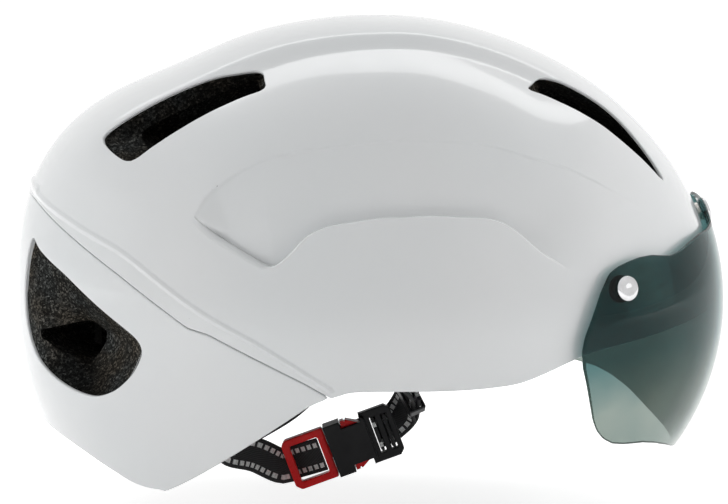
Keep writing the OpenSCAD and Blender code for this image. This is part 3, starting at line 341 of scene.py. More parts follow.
# meshes of polygons cut along the level lines of a field
def cubeSphere(n, low=-0.75):
    g = np.tan((np.arange(n + 1) / n * 2 - 1) * math.pi / 4)
    dirs, faces, index = [], [], {}
    for axis in range(3):
        for sign in (-1, 1):
            if axis == 2 and sign < 0:
                continue
            a, b = (axis + 1) % 3, (axis + 2) % 3
            ids = np.zeros((n + 1, n + 1), int)
            for i in range(n + 1):
                for j in range(n + 1):
                    v = [0.0, 0.0, 0.0]
                    v[axis], v[a], v[b] = sign, g[i], g[j]
                    key = (round(v[0], 6), round(v[1], 6), round(v[2], 6))
                    if key not in index:
                        index[key] = len(dirs)
                        dirs.append(v)
                    ids[i, j] = index[key]
            for i in range(n):
                for j in range(n):
                    q = [ids[i, j], ids[i + 1, j], ids[i + 1, j + 1], ids[i, j + 1]]
                    faces.append(q if sign > 0 else q[::-1])
    dirs = unit(np.array(dirs))
    faces = [f for f in faces if dirs[f, 2].min() > low]
    return dirs, faces


# a face is cut only where the field has no jump, so its values stay below the given limit
def cutAt(dirs, faces, field, level, keep=None, snap=0.02, jump=15):
    v = field(dirs) - level
    v[np.abs(v) < snap] = 0
    above, below = v > 0, v < 0
    edges, crossing = {}, []
    for k, f in enumerate(faces):
        if any(above[i] for i in f) and any(below[i] for i in f) and max(abs(v[i]) for i in f) < jump:
            crossing.append(k)
            for a, b in zip(f, f[1:] + f[:1]):
                if v[a] * v[b] < 0:
                    edges.setdefault((min(a, b), max(a, b)), 0)
    if edges:
        pairs = np.array(list(edges), int)
        a, b = dirs[pairs[:, 0]], dirs[pairs[:, 1]]
        lo, hi = np.zeros(len(pairs)), np.ones(len(pairs))
        flo, fhi = v[pairs[:, 0]], v[pairs[:, 1]]
        for turn in range(4):
            t = lo + (hi - lo) * flo / (flo - fhi)
            f = field(unit(a + (b - a) * t[:, None])) - level
            same = np.sign(f) == np.sign(flo)
            lo, flo = np.where(same, t, lo), np.where(same, f, flo)
            hi, fhi = np.where(same, hi, t), np.where(same, fhi, f)
            fhi = np.where(np.abs(fhi - flo) < 1e-12, flo + 1e-9, fhi)
        t = lo + (hi - lo) * flo / (flo - fhi)
        fresh = unit(a + (b - a) * t[:, None])
        for k, pair in enumerate(edges):
            edges[pair] = len(dirs) + k
        dirs = np.vstack([dirs, fresh])
        v = np.concatenate([v, np.zeros(len(fresh))])
    out, cut = [], set(crossing)
    for k, f in enumerate(faces):
        if k not in cut:
            s = max((v[i] for i in f), key=abs)
            if keep is None or (s >= 0) == keep:
                out.append(f)
            continue
        plus, minus = [], []
        for a, b in zip(f, f[1:] + f[:1]):
            if v[a] >= 0:
                plus.append(a)
            if v[a] <= 0:
                minus.append(a)
            if v[a] * v[b] < 0:
                m = edges[(min(a, b), max(a, b))]
                plus.append(m)
                minus.append(m)
        for part, side in ((plus, True), (minus, False)):
            if len(part) > 2 and (keep is None or keep == side):
                out.append(part)
    return dirs, out


askew = (0.31, 0.27, 0.91)


def normalsOf(surface, d, eps=0.0009):
    u = unit(np.cross(d, askew))
    w = np.cross(d, u)
    a = surface(unit(d + u * eps)) - surface(unit(d - u * eps))
    b = surface(unit(d + w * eps)) - surface(unit(d - w * eps))
    n = unit(np.cross(a, b))
    return np.where((n * d).sum(1, keepdims=True) < 0, -n, n)


def compact(dirs, faces):
    used = sorted({i for f in faces for i in f})
    remap = {o: k for k, o in enumerate(used)}
    return dirs[used], [[remap[i] for i in f] for f in faces]


def borderEdges(faces):
    count = {}
    for f in faces:
        for a, b in zip(f, f[1:] + f[:1]):
            if (b, a) in count:
                del count[(b, a)]
            else:
                count[(a, b)] = 1
    return list(count)


# an open edge: its directions away from the surface, and strips of faces between rings laid along it
def edgeWays(points, normals, faces):
    edges, ways = borderEdges(faces), {}
    for a, b in edges:
        t = unit(points[b] - points[a])
        for i in (a, b):
            ways[i] = ways.get(i, 0) + np.cross(t, normals[i])
    ids = sorted(ways)
    return edges, ids, unit(np.array([ways[i] for i in ids]))


def joinRings(edges, ids, base, count, back=None):
    where, new = {i: k for k, i in enumerate(ids)}, []
    for a, b in edges:
        starts = [base + r * len(ids) for r in range(count)]
        row = [(a, b)] + [(start + where[a], start + where[b]) for start in starts]
        if back:
            row.append((a + back, b + back))
        new += [[p1, p0, q0, q1] for (p0, p1), (q0, q1) in zip(row, row[1:])]
    return new


shellWall = 1.2
flare = {"share": 0.75, "turn": 5}


def rollEdges(points, normals, faces, radius, wall, steps=4):
    edges, ids, g = edgeWays(points, normals, faces)
    p, n = points[ids], normals[ids]
    rings, turned = [], []
    for k in range(1, steps + 1):
        a = math.pi / 2 * k / steps
        rings.append(p + g * radius * math.sin(a) - n * radius * (1 - math.cos(a)))
        turned.append(n * math.cos(a) + g * math.sin(a))
    deep = wall(p) if callable(wall) else wall
    slant = flare["share"] * (deep - shellWall)
    rings.append(p + g * (radius + slant) - n * deep)
    turned.append(unit(g + n * slant / flare["turn"]))
    new = joinRings(edges, ids, len(points), len(rings))
    return np.vstack([points] + rings), np.vstack([normals] + turned), faces + new


def addMesh(name, points, faces, body, normals=None):
    mesh = bpy.data.meshes.new(name)
    mesh.from_pydata([tuple(p) for p in np.asarray(points) * mm], [], [list(map(int, f)) for f in faces])
    mesh.update()
    mesh.polygons.foreach_set("use_smooth", [True] * len(mesh.polygons))
    if normals is not None:
        mesh.normals_split_custom_set_from_vertices([tuple(n) for n in normals])
    obj = newObject(name, mesh)
    if body:
        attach(obj, body)
    return obj


def useMaterial(obj, mat):
    obj.data.materials.clear()
    obj.data.materials.append(mat)


print("stage: helpers ready")


# material helpers
def material(name, **base):
    mat = bpy.data.materials.new(name)
    mat.use_nodes = True
    tree = mat.node_tree
    bsdf = next(n for n in tree.nodes if n.type == "BSDF_PRINCIPLED")
    for key, value in base.items():
        socket = key.replace("_", " ")
        bsdf.inputs[socket].default_value = (*value, 1) if isinstance(value, tuple) and len(value) == 3 else value
    return mat, tree, bsdf


def node(tree, kind, inputs=None, **props):
    n = tree.nodes.new(kind)
    for key, value in props.items():
        setattr(n, key, value)
    for key, value in (inputs or {}).items():
        if isinstance(value, bpy.types.NodeSocket):
            tree.links.new(value, n.inputs[key])
        else:
            n.inputs[key].default_value = value
    return n


def noise(tree, scale, detail=4, rough=0.5, coords=None):
    coords = coords or node(tree, "ShaderNodeTexCoord").outputs["Object"]
    inputs = {"Vector": coords, "Scale": scale, "Detail": detail, "Roughness": rough}
    return node(tree, "ShaderNodeTexNoise", inputs).outputs["Fac"]


def ramp(tree, fac, stops):
    r = node(tree, "ShaderNodeValToRGB", {"Fac": fac})
    e = r.color_ramp.elements
    while len(e) < len(stops):
        e.new(0.5)
    for k, (pos, col) in enumerate(stops):
        e[k].position = pos
        e[k].color = (*col, 1) if not isinstance(col, (int, float)) else (col, col, col, 1)
    return r.outputs["Color"]


def bump(tree, bsdf, height, distance, strength=1.0, chain=None):
    inputs = {"Height": height, "Distance": distance, "Strength": strength}
    if chain is not None:
        inputs["Normal"] = chain
    b = node(tree, "ShaderNodeBump", inputs)
    tree.links.new(b.outputs["Normal"], bsdf.inputs["Normal"])
    return b.outputs["Normal"]


def mapRange(tree, value, low, high, a, b):
    return node(tree, "ShaderNodeMapRange", {"Value": value, "From Min": low, "From Max": high,
                                             "To Min": a, "To Max": b}).outputs["Result"]


def calc(tree, kind, a, b=0.0, c=0.0):
    return node(tree, "ShaderNodeMath", {0: a, 1: b, 2: c}, operation=kind).outputs[0]


def mixed(tree, amount, first, second, blend="MIX"):
    both = node(tree, "ShaderNodeMix", {0: amount, 6: first, 7: second}, data_type="RGBA", blend_type=blend)
    return both.outputs[2]


def vector(tree, kind, inputs, output=0):
    return node(tree, "ShaderNodeVectorMath", inputs, operation=kind).outputs[output]


def shellMaterial():
    mat, tree, bsdf = material("shell_white", Base_Color=(0.78, 0.8, 0.81), Roughness=0.22, Coat_Weight=0.8,
                               Coat_Roughness=0.06, IOR=1.5)
    broad = noise(tree, 9, 2)
    tint = ramp(tree, broad, [(0.3, (0.76, 0.785, 0.795)), (0.7, (0.805, 0.815, 0.82))])
    specks = noise(tree, 900, 2)
    dust = ramp(tree, specks, [(0.16, (0.35, 0.33, 0.31)), (0.2, (1, 1, 1))])
    both = mixed(tree, 0.5, tint, dust, "MULTIPLY")
    tree.links.new(both, bsdf.inputs["Base Color"])
    tree.links.new(mapRange(tree, noise(tree, 60, 4), 0.3, 0.7, 0.18, 0.27), bsdf.inputs["Roughness"])
    peel = noise(tree, 260, 2)
    bump(tree, bsdf, peel, 0.00003, 0.35)
    return mat


def foamMaterial():
    mat, tree, bsdf = material("foam_grey", Roughness=0.9, Specular_IOR_Level=0.04)
    coords = node(tree, "ShaderNodeTexCoord").outputs["Object"]
    beads = node(tree, "ShaderNodeTexVoronoi", {"Vector": coords, "Scale": 1250.0})
    pick = node(tree, "ShaderNodeSeparateColor", {0: beads.outputs["Color"]}).outputs
    fine = noise(tree, 2600, 2, 0.6, coords)
    broad = noise(tree, 60, 3, 0.5, coords)
    speck = ramp(tree, pick[0], [(0.0, (0.008, 0.008, 0.008)), (0.5, (0.024, 0.024, 0.023)),
                                 (0.8, (0.06, 0.06, 0.058)), (1.0, (0.13, 0.128, 0.122))])
    grain = ramp(tree, fine, [(0.35, 0.35), (0.7, 1.6)])
    warm = ramp(tree, broad, [(0.38, (0.97, 0.87, 0.74)), (0.62, (0.95, 1, 1))])
    both = mixed(tree, 1.0, speck, grain, "MULTIPLY")
    tinted = mixed(tree, 1.0, both, warm, "MULTIPLY")
    # painted shade and light: walls of the vents get a darker colour and faces that look outwards a lighter one, by how
    # far each face turns from the outside
    radial = vector(tree, "NORMALIZE", {0: vector(tree, "SUBTRACT", {0: coords, 1: tuple(skinCentre * mm)})})
    normal = node(tree, "ShaderNodeNewGeometry").outputs["Normal"]
    facing = vector(tree, "DOT_PRODUCT", {0: radial, 1: normal}, "Value")
    paintedShade = vector(tree, "SCALE", {0: tinted, 3: mapRange(tree, facing, 0.4, 1.0, 0.45, 1.3)})
    tree.links.new(paintedShade, bsdf.inputs["Base Color"])
    first = bump(tree, bsdf, beads.outputs["Distance"], 0.0004, 0.6)
    bump(tree, bsdf, fine, 0.0002, 0.5, first)
    return mat


shellWhite, foamGrey = shellMaterial(), foamMaterial()


# the two moulded shells
edgeRoll, rearStep, seamHalf = 0.7, 0.5, 0.18
gridSize = 110


def shellPatch(dirs, faces, cuts):
    for field, level, keep in cuts:
        dirs, faces = cutAt(dirs, faces, field, level, keep)
    return compact(dirs, faces)


def finishShell(name, dirs, faces, surface, replaced, wall=shellWall):
    points, normals = surface(dirs), normalsOf(surface, dirs)
    points, normals, faces = rollEdges(points, normals, faces, edgeRoll, wall)
    obj = addMesh(name, points, faces, "helmet", normals)
    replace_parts(obj, replaced)
    useMaterial(obj, shellWhite)
    return obj


allDirs, allFaces = cubeSphere(gridSize)
upperCuts = [(rimField, edgeRoll, True), (seamField, edgeRoll + seamHalf, True)]
upperCuts += [(ventField(vents[k]), edgeRoll, True) for k in ("front", "top")]
upperCuts += [(lipField, level, None) for level in (-0.4, 0, 0.3, 0.8, 1.4, panel["lip"])]
upperCuts += [(creaseField, panel["stepWidth"] * level, None) for level in (0, 0.5, 1)]
upperCuts += [(ridgeField, ridge["half"] * level, None) for level in (-1.3, -1, -0.6, -0.25, 0.25, 0.6, 1, 1.3)]
dirs, faces = shellPatch(allDirs, allFaces, upperCuts)
finishShell("upper_shell_lacquered", dirs, faces, skin, "upper_shell")
print("stage: upper shell", len(faces))


def rearSkin(d):
    return skin(d, rearStep, True)


flange = {"middle": (-118, 0, 12), "way": (0.55, 0.83), "deeper": 5, "reach": 2, "start": -0.05, "fade": 0.5}


def rearWall(p):
    f = flange
    dist = ventField(vents["side"])(unit(p - skinCentre))
    turned = (unit((p - np.array(f["middle"]))[:, [0, 2]]) * f["way"]).sum(1)
    wide = shellWall + f["deeper"] * ease((turned - f["start"]) / f["fade"])
    return np.where(np.abs(dist - edgeRoll) < f["reach"], wide, shellWall)[:, None]


rearCuts = [(rimField, edgeRoll, True), (seamField, -edgeRoll - seamHalf, False),
            (ventField(vents["side"]), edgeRoll, True)]
dirs, faces = shellPatch(allDirs, allFaces, rearCuts)
finishShell("rear_shell_lacquered", dirs, faces, rearSkin, "rear_shell", rearWall)
print("stage: rear shell", len(faces))


# the foam, a closed body round the head room with the vents cut through it
foam = {"inset": 1.9, "raise": 1.5, "columns": 144, "rows": 30, "panelRoom": 7, "panelFade": 12, "cutAbove": 14,
        "cutWithin": 78, "sharp": 32,
        "head": {"x": 5.0, "length": 103.0, "width": 82.0, "dome": 80.0, "wall": 25.0},
        "foamBlocks": ["brow", "front_left", "front_right", "side_left", "side_right", "rear_left", "rear_right",
                       "nape", "crown_front", "crown_rear"],
        "dialHollow": {"x": (-112, -78), "half": 22, "top": 18.5}}


def rimHeight(x):
    return np.interp(x, rimLine[::-1, 0], rimLine[::-1, 1]) + foam["raise"]


def foamSkin(d):
    top, low, within = panelFields(d)
    near = np.where(within, 0.0, np.minimum(top, low))
    room = foam["panelRoom"] * (1 - ease(near / foam["panelFade"]))
    r = baseRadius(d) - spineInset(d) - foam["inset"] - room
    return skinCentre + d * r[:, None]


def headPoint(turn, rise):
    h, t, lift = foam["head"], np.radians(turn), np.radians(rise)
    return np.stack([h["x"] + h["length"] * np.cos(t) * np.cos(lift), -h["width"] * np.sin(t) * np.cos(lift),
                     h["wall"] + h["dome"] * np.sin(lift)], -1)


def gridFaces(rows, n):
    return [[r * n + k, r * n + (k + 1) % n, (r + 1) * n + (k + 1) % n, (r + 1) * n + k]
            for r in range(rows - 1) for k in range(n)]


def foamBody():
    n, rows = foam["columns"], foam["rows"]
    turn = np.arange(n) * 360 / n
    t = np.radians(turn)

    def ray(rise):
        b = np.radians(rise)
        return np.stack([np.cos(b) * np.cos(t), -np.cos(b) * np.sin(t), np.sin(b) + 0 * t], -1)
    lo, hi = np.full(n, -60.0), np.full(n, 40.0)
    for k in range(40):
        mid = (lo + hi) / 2
        p = foamSkin(ray(mid))
        under = p[:, 2] < rimHeight(p[:, 0])
        lo, hi = np.where(under, mid, lo), np.where(under, hi, mid)
    rings = [foamSkin(ray(hi + (90 - hi) * k / rows)) for k in range(rows)]
    inner = headPoint(turn, np.zeros(n))
    foot = inner.copy()
    foot[:, 2] = rimHeight(foot[:, 0])
    under = [foot * w + rings[0] * (1 - w) for w in (0.05, 0.2, 0.5, 0.8, 0.95)]
    for ring in under:
        ring[:, 2] = rimHeight(ring[:, 0])
    walls = [foot * (1 - w) + inner * w for w in (0.33, 0.67, 1.0)]
    domes = [headPoint(turn, np.full(n, r)) for r in (8, 16, 24, 32, 40, 48, 56, 64, 72, 80)]
    loop = rings[::-1] + under + [foot] + walls + domes
    points = np.vstack(loop + [foamSkin(np.array([[0, 0, 1.0]])), headPoint(np.zeros(1), np.full(1, 90.0))])
    count = len(loop)
    faces = gridFaces(count, n)
    top, roof = count * n, count * n + 1
    faces += [[top, (k + 1) % n, k] for k in range(n)]
    faces += [[roof, (count - 1) * n + k, (count - 1) * n + (k + 1) % n] for k in range(n)]
    return points, faces


def tubeFaces(rows, n):
    return gridFaces(rows, n) + [list(range(n))[::-1], list(range((rows - 1) * n, rows * n))]


def loft(rings, flip):
    points, faces = np.vstack(rings), tubeFaces(len(rings), len(rings[0]))
    if flip:
        points = points * np.array([1, -1, 1])
        faces = [f[::-1] for f in faces]
    return points, faces


def ventRings(vent, grow=1.03):
    out, deep = curve(vent["outline"], 5, True), curve(vent["inner"], 5, True)
    mid = out.mean(0)
    out = mid + (out - mid) * grow
    d, e = way(out[:, 0], out[:, 1]), way(deep[:, 0], deep[:, 1])
    edge = skin(d, foam["inset"])
    rings = [edge + unit(edge - skinCentre) * foam["cutAbove"], edge]
    if "plane" in vent:
        floor = skinCentre + e * (vent["plane"] / np.maximum(-e[:, 1:2], 0.05))
        rings += [floor] + [floor + np.array(step) for step in vent["push"]]
    else:
        floor = skin(e, vent["deep"])
        below, shift, far = vent["under"]
        ledge = skin(way(deep[:, 0], deep[:, 1] + shift), below)
        inside = skinCentre + way(deep[:, 0] + vent["lean"], deep[:, 1] + far) * foam["cutWithin"]
        rings += [floor, ledge, inside]
    return rings


def outward(points, faces):
    volume = sum(np.dot(points[f[0]], np.cross(points[f[k]], points[f[k + 1]]))
                 for f in faces for k in range(1, len(f) - 1))
    return faces if volume > 0 else [f[::-1] for f in faces]


def bareMesh(name, points, faces):
    mesh = bpy.data.meshes.new(name)
    mesh.from_pydata([tuple(p) for p in points * mm], [], outward(points, faces))
    return newObject(name, mesh)


def boxMesh(lo, hi):
    p = np.array([[x, y, z] for x in (lo[0], hi[0]) for y in (lo[1], hi[1]) for z in (lo[2], hi[2])], float)
    return p, [[0, 1, 3, 2], [4, 6, 7, 5], [0, 4, 5, 1], [2, 3, 7, 6], [0, 2, 6, 4], [1, 5, 7, 3]]


def applyModifiers(obj):
    depsgraph = bpy.context.evaluated_depsgraph_get()
    mesh = bpy.data.meshes.new_from_object(obj.evaluated_get(depsgraph))
    obj.modifiers.clear()
    obj.data = mesh


def carve(obj, cutters):
    for points, faces in cutters:
        tool = bareMesh("cutter", points, faces)
        m = obj.modifiers.new("cut", "BOOLEAN")
        m.operation, m.solver, m.object = "DIFFERENCE", "EXACT", tool
        applyModifiers(obj)
        bpy.data.objects.remove(tool)


def shadeByAngle(obj, angle):
    mesh = obj.data
    mesh.polygons.foreach_set("use_smooth", [True] * len(mesh.polygons))
    mesh.set_sharp_from_angle(angle=math.radians(angle))


points, faces = foamBody()
foamLiner = bareMesh("foam_liner_moulded", points, faces)
cutters = [loft(ventRings(vent), flip) for vent in vents.values() for flip in (False, True)]
hollow = foam["dialHollow"]
cutters.append(boxMesh((hollow["x"][0], -hollow["half"], -70), (hollow["x"][1], hollow["half"], hollow["top"])))
carve(foamLiner, cutters)
shadeByAngle(foamLiner, foam["sharp"])
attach(foamLiner, "helmet")
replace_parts(foamLiner, *["foam_" + name for name in foam["foamBlocks"]])
useMaterial(foamLiner, foamGrey)
print("stage: foam", len(foamLiner.data.polygons))


# the smoke visor, one closed sheet with a rounded edge
visor = {"centre": (48.108, 0, 15), "radius": 102.725, "wall": 2.0, "round": 2.5,
         "tab": {"x": 125, "z": (20, 59), "half": 13},
         "grid": ((120, 80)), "turns": (-76, 76), "rises": (-40, 30), "behind": -50,
         "side": [(91.5, 41.7), (88, 35), (85, 27), (81.5, 18), (80.4, 12), (81, 6), (82.7, -1), (86, -16.5),
                  (88, -21.5), (91, -25.5), (95, -28.3), (100, -29.6), (109, -31), (115, -33.2), (121, -36.7),
                  (128, -42.5), (134, -46.5), (170, -52), (170, 50), (134, 49.8), (128, 48), (123, 46), (119, 45.2),
                  (110, 46.8), (104.5, 46.6), (100, 45.6), (95, 44)]}
studs = {"ways": [(60, 11.5), (-60, 11.5), (0, 21.5)], "gap": 0.15, "sharp": 50,
         "profile": [(0, 1.1), (0.7, 1.12), (1.0, 1.32), (2.4, 1.5), (3.7, 1.36), (4.5, 1.02), (4.88, 0.6), (5.0, 0.25),
                     (4.95, 0.0), (2.05, 0.0), (2.0, -2.2), (0, -2.2)]}


def visorWay(turn, rise):
    a, b = np.radians(turn), np.radians(rise)
    return np.stack([np.cos(b) * np.cos(a), -np.cos(b) * np.sin(a), np.sin(b)], -1)


def visorSkin(d):
    return np.array(visor["centre"]) + d * visor["radius"]


def boxField(p, x, y):
    dx, dy = np.abs(p[:, 0] - sum(x) / 2) - (x[1] - x[0]) / 2, np.abs(p[:, 1] - sum(y) / 2) - (y[1] - y[0]) / 2
    return -(np.hypot(np.maximum(dx, 0), np.maximum(dy, 0)) + np.minimum(np.maximum(dx, dy), 0))


def visorField(d):
    p = visorSkin(d)
    dist, inside = lineDistance(p[:, [0, 2]], np.array(visor["side"], float), True)
    side = np.where(inside, dist, -dist)
    tab = visor["tab"]
    middle = boxField(p[:, [1, 2]], (-tab["half"], tab["half"]), tab["z"])
    middle = np.where(p[:, 0] > tab["x"], middle, visor["behind"])
    k = visor["round"]
    h = np.clip(0.5 + 0.5 * (side - middle) / k, 0, 1)
    return middle * (1 - h) + side * h + k * h * (1 - h)


def closedSheet(points, normals, faces, wall, steps=6):
    edges, ids, g = edgeWays(points, normals, faces)
    p, n = points[ids], normals[ids]
    rings, turned = [], []
    for k in range(1, steps):
        a = math.pi * k / steps
        rings.append(p - n * wall / 2 + (g * math.sin(a) + n * math.cos(a)) * wall / 2)
        turned.append(g * math.sin(a) + n * math.cos(a))
    count = len(points)
    new = [[i + count for i in f[::-1]] for f in faces] + joinRings(edges, ids, 2 * count, len(rings), count)
    return np.vstack([points, points - normals * wall] + rings), np.vstack([normals, -normals] + turned), faces + new


def makeVisor():
    columns, rows = visor["grid"]
    turns, rises = np.linspace(*visor["turns"], columns + 1), np.linspace(*visor["rises"], rows + 1)
    dirs = np.array([visorWay(t, r) for r in rises for t in turns])
    row = columns + 1
    faces = [[r * row + k, (r + 1) * row + k, (r + 1) * row + k + 1, r * row + k + 1]
             for r in range(rows) for k in range(columns)]
    dirs, faces = cutAt(dirs, faces, visorField, visor["wall"] / 2, True)
    dirs, faces = compact(dirs, faces)
    f = faces[len(faces) // 2]
    if np.dot(np.cross(dirs[f[1]] - dirs[f[0]], dirs[f[2]] - dirs[f[0]]), dirs[f[0]]) < 0:
        faces = [q[::-1] for q in faces]
    points, normals, faces = closedSheet(visorSkin(dirs), dirs, faces, visor["wall"])
    return addMesh("visor_lens_smoke", points, faces, "visor", normals)


def lathe(profile, count=64):
    points, faces = [], []
    for r, h in profile:
        ring = [(r * math.cos(2 * math.pi * k / count), r * math.sin(2 * math.pi * k / count), h) for k in range(count)]
        points += ring if r > 0 else [(0, 0, h)] * count
    rows = len(profile)
    for j in range(rows - 1):
        for k in range(count):
            a, b = j * count + k, j * count + (k + 1) % count
            c, d = b + count, a + count
            if profile[j][0] == 0:
                faces.append([a, d, c])
            elif profile[j + 1][0] == 0:
                faces.append([a, d, b])
            else:
                faces.append([a, d, c, b])
    return np.array(points, float), faces


def turnedTo(points, direction, base):
    z = unit(np.array(direction, float))
    x = unit(np.cross([0, 1.0, 0.02], z))
    y = np.cross(z, x)
    return np.array(base, float) + points[:, :1] * x + points[:, 1:2] * y + points[:, 2:] * z


lens = makeVisor()
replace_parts(lens, "visor_lens")
studPoints, studFaces = [], []
for turnAngle, riseAngle in studs["ways"]:
    p, f = lathe(studs["profile"])
    d = visorWay(np.float64(turnAngle), np.float64(riseAngle))
    start = len(studPoints) * len(p)
    studPoints.append(turnedTo(p, d, np.array(visor["centre"]) + d * (visor["radius"] + studs["gap"])))
    studFaces += [[i + start for i in q] for q in f]
studHeads = addMesh("visor_stud_heads", np.vstack(studPoints), studFaces, "visor")
shadeByAngle(studHeads, studs["sharp"])
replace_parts(studHeads, "visor_studs")
print("stage: visor", len(lens.data.polygons))


# webbing, swept along its route with rounded selvedges; each stop is x, y, z and its lean towards the tilt
webbing = {"half": 7.5, "wall": 1.4, "pitch": 1.5, "tilt": (-0.34202, 0, 0.939693), "sharp": 60, "across": 9}
straps = {
    "front_strap": [(61.5, -64.6, 4, 0), (54, -66.3, 3.6, 0), (42, -66.5, 3, 0), (28, -64, 3.2, 0), (16, -61.2, 3.5, 0),
                    (5.6, -60.7, 3.5, 0)],
    "rear_strap": [(-64.5, -55.4, -16.2, 0), (-56.8, -61, -16, 0), (-48.2, -65.3, -14.8, 0), (-36, -66, -11, 0),
                   (-22, -64.5, -4, 0), (-10, -61.2, 2.8, 0), (0.4, -60.7, 3.5, 0)],
    "chin_left": [(3, 60.4, 3.5, 0), (2.8, 56.5, 3, 0), (0, 49, 0, 0), (-6, 36, -8, 0), (-16, 20, -20, 0),
                  (-30, 10, -31, 0), (-46, 6, -40, 0), (-56, 4.6, -45, 0), (-59.5, 2.6, -48, 0), (-56, 0.8, -50.5, 0),
                  (-46, 2, -53, 1), (-34.97, 3.4, -58.52, 1), (-30.09, 3.5, -56.75, 1), (-22.76, 1.4, -54.08, 1),
                  (-17.87, 0.2, -52.3, 1)],
    "chin_right": [(3, -60.4, 3.5, 0), (3.2, -56.5, 3, 0), (8, -46, -1.5, 0), (14, -32, -9, 0), (17.5, -14, -20, 1),
                   (17.5, 0, -30, 1), (15.6, 5, -37, 1), (10.6, 3.6, -41.94, 1), (10.6, -1.6, -41.94, 1)],
    "chin_tail": [(5.9, -1.6, -43.65, 1), (5.9, 4, -43.65, 1), (10.6, 6.6, -41.94, 1), (16.33, 7.27, -36.74, 1),
                  (19.59, 0.89, -29.24, 1), (19.74, -13.71, -19.19, 1)],
}


def web(name, stops, body, flip=False):
    route = curve(stops, 16)
    p, tilt = route[:, :3], np.clip(route[:, 3:], 0, 1)
    across = np.array([0, 0, 1.0]) * (1 - tilt) + np.array(webbing["tilt"]) * tilt
    run = np.concatenate([[0], np.cumsum(np.linalg.norm(np.diff(p, axis=0), axis=1))])
    count = max(int(run[-1] / webbing["pitch"]), 4)
    at = np.linspace(0, run[-1], count + 1)
    p = np.stack([np.interp(at, run, p[:, k]) for k in range(3)], -1)
    across = np.stack([np.interp(at, run, across[:, k]) for k in range(3)], -1)
    t = unit(np.gradient(p, axis=0))
    w = unit(across - t * (across * t).sum(1, keepdims=True))
    n = np.cross(t, w)
    half, thick = webbing["half"], webbing["wall"] / 2
    end = [(half - thick + thick * math.sin(a), thick * math.cos(a)) for a in [math.pi * k / 6 for k in range(7)]]
    rows = np.linspace(half - thick, -(half - thick), webbing["across"])[1:-1]
    section = end + [(r, -thick) for r in rows] + [(-a, -b) for a, b in end] + [(-r, thick) for r in rows]
    m = len(section)
    points = np.array([p[k] + w[k] * a + n[k] * b for k in range(count + 1) for a, b in section])
    faces = tubeFaces(count + 1, m)
    if flip:
        points = points * np.array([1, -1, 1])
    faces = outward(points, faces)
    obj = addMesh(name, points, faces, body)
    uv = obj.data.uv_layers.new(name="UVMap")
    index = np.zeros(len(obj.data.loops), int)
    obj.data.loops.foreach_get("vertex_index", index)
    side = np.array([a for a, b in section])
    uv.data.foreach_set("uv", np.stack([at[index // m], side[index % m]], -1).ravel())
    shadeByAngle(obj, webbing["sharp"])
    useMaterial(obj, webBlack)
    return obj


webBlack = bpy.data.materials.new("webbing_black")
for name in ("front_strap", "rear_strap"):
    for side, flip in (("left", True), ("right", False)):
        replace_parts(web(name + "_" + side + "_woven", straps[name], "helmet", flip), name + "_" + side)
chinLeft = web("chin_strap_left_woven", straps["chin_left"], None)
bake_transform(chinLeft)
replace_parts(chinLeft, "chin_strap_left")
chinRight = web("chin_strap_right_woven", straps["chin_right"], "helmet")
web("chin_strap_tail_woven", straps["chin_tail"], "helmet")
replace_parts(chinRight, "chin_strap_right")
print("stage: webbing")


cloth = {"line": 4.6, "lineHalf": 1.05, "dashes": 0.37, "dash": 0.66, "along": 7.0, "across": 6.0, "lean": 3.5}


def webbingMaterial(mat):
    mat.use_nodes = True
    tree = mat.node_tree
    bsdf = next(n for n in tree.nodes if n.type == "BSDF_PRINCIPLED")
    bsdf.inputs["Roughness"].default_value = 0.75
    bsdf.inputs["Specular IOR Level"].default_value = 0.3
    uv = node(tree, "ShaderNodeUVMap", uv_map="UVMap").outputs["UV"]
    parts = node(tree, "ShaderNodeSeparateXYZ", {0: uv})
    run, side = parts.outputs[0], parts.outputs[1]
    row = calc(tree, "COMPARE", calc(tree, "ABSOLUTE", side), cloth["line"], cloth["lineHalf"])
    dash = calc(tree, "LESS_THAN", calc(tree, "FRACT", calc(tree, "MULTIPLY", run, cloth["dashes"])), cloth["dash"])
    weave = calc(tree, "SINE", calc(tree, "MULTIPLY", run, cloth["along"]))
    lean = calc(tree, "MULTIPLY", run, cloth["lean"])
    cross = calc(tree, "SINE", calc(tree, "MULTIPLY_ADD", side, cloth["across"], lean))
    height = calc(tree, "MULTIPLY", weave, cross)
    stitch = calc(tree, "MULTIPLY", row, dash)
    dark = ramp(tree, mapRange(tree, height, -1, 1, 0, 1), [(0.2, (0.006, 0.006, 0.006)), (0.8, (0.028, 0.028, 0.03))])
    white = ramp(tree, mapRange(tree, weave, -1, 1, 0, 1), [(0.1, (0.78, 0.78, 0.78)), (0.6, (0.95, 0.95, 0.94))])
    tree.links.new(mixed(tree, stitch, dark, white), bsdf.inputs["Base Color"])
    bump(tree, bsdf, height, 0.00018, 0.6)


def plainMaterial(name, low, high, rough, scale, depth, edge=0.0004, **more):
    mat, tree, bsdf = material(name, **more)
    coords = node(tree, "ShaderNodeTexCoord").outputs["Object"]
    broad = noise(tree, scale, 3, 0.5, coords)
    fine = noise(tree, scale * 12, 2, 0.6, coords)
    tint = ramp(tree, broad, [(0.35, low), (0.65, high)])
    tree.links.new(tint, bsdf.inputs["Base Color"])
    worn = mapRange(tree, fine, 0.3, 0.7, rough * 0.85, min(rough * 1.2, 1))
    tree.links.new(worn, bsdf.inputs["Roughness"])
    soft = node(tree, "ShaderNodeBevel", {"Radius": edge}, samples=6).outputs["Normal"] if edge else None
    bump(tree, bsdf, fine, depth, 0.5, soft)
    return mat


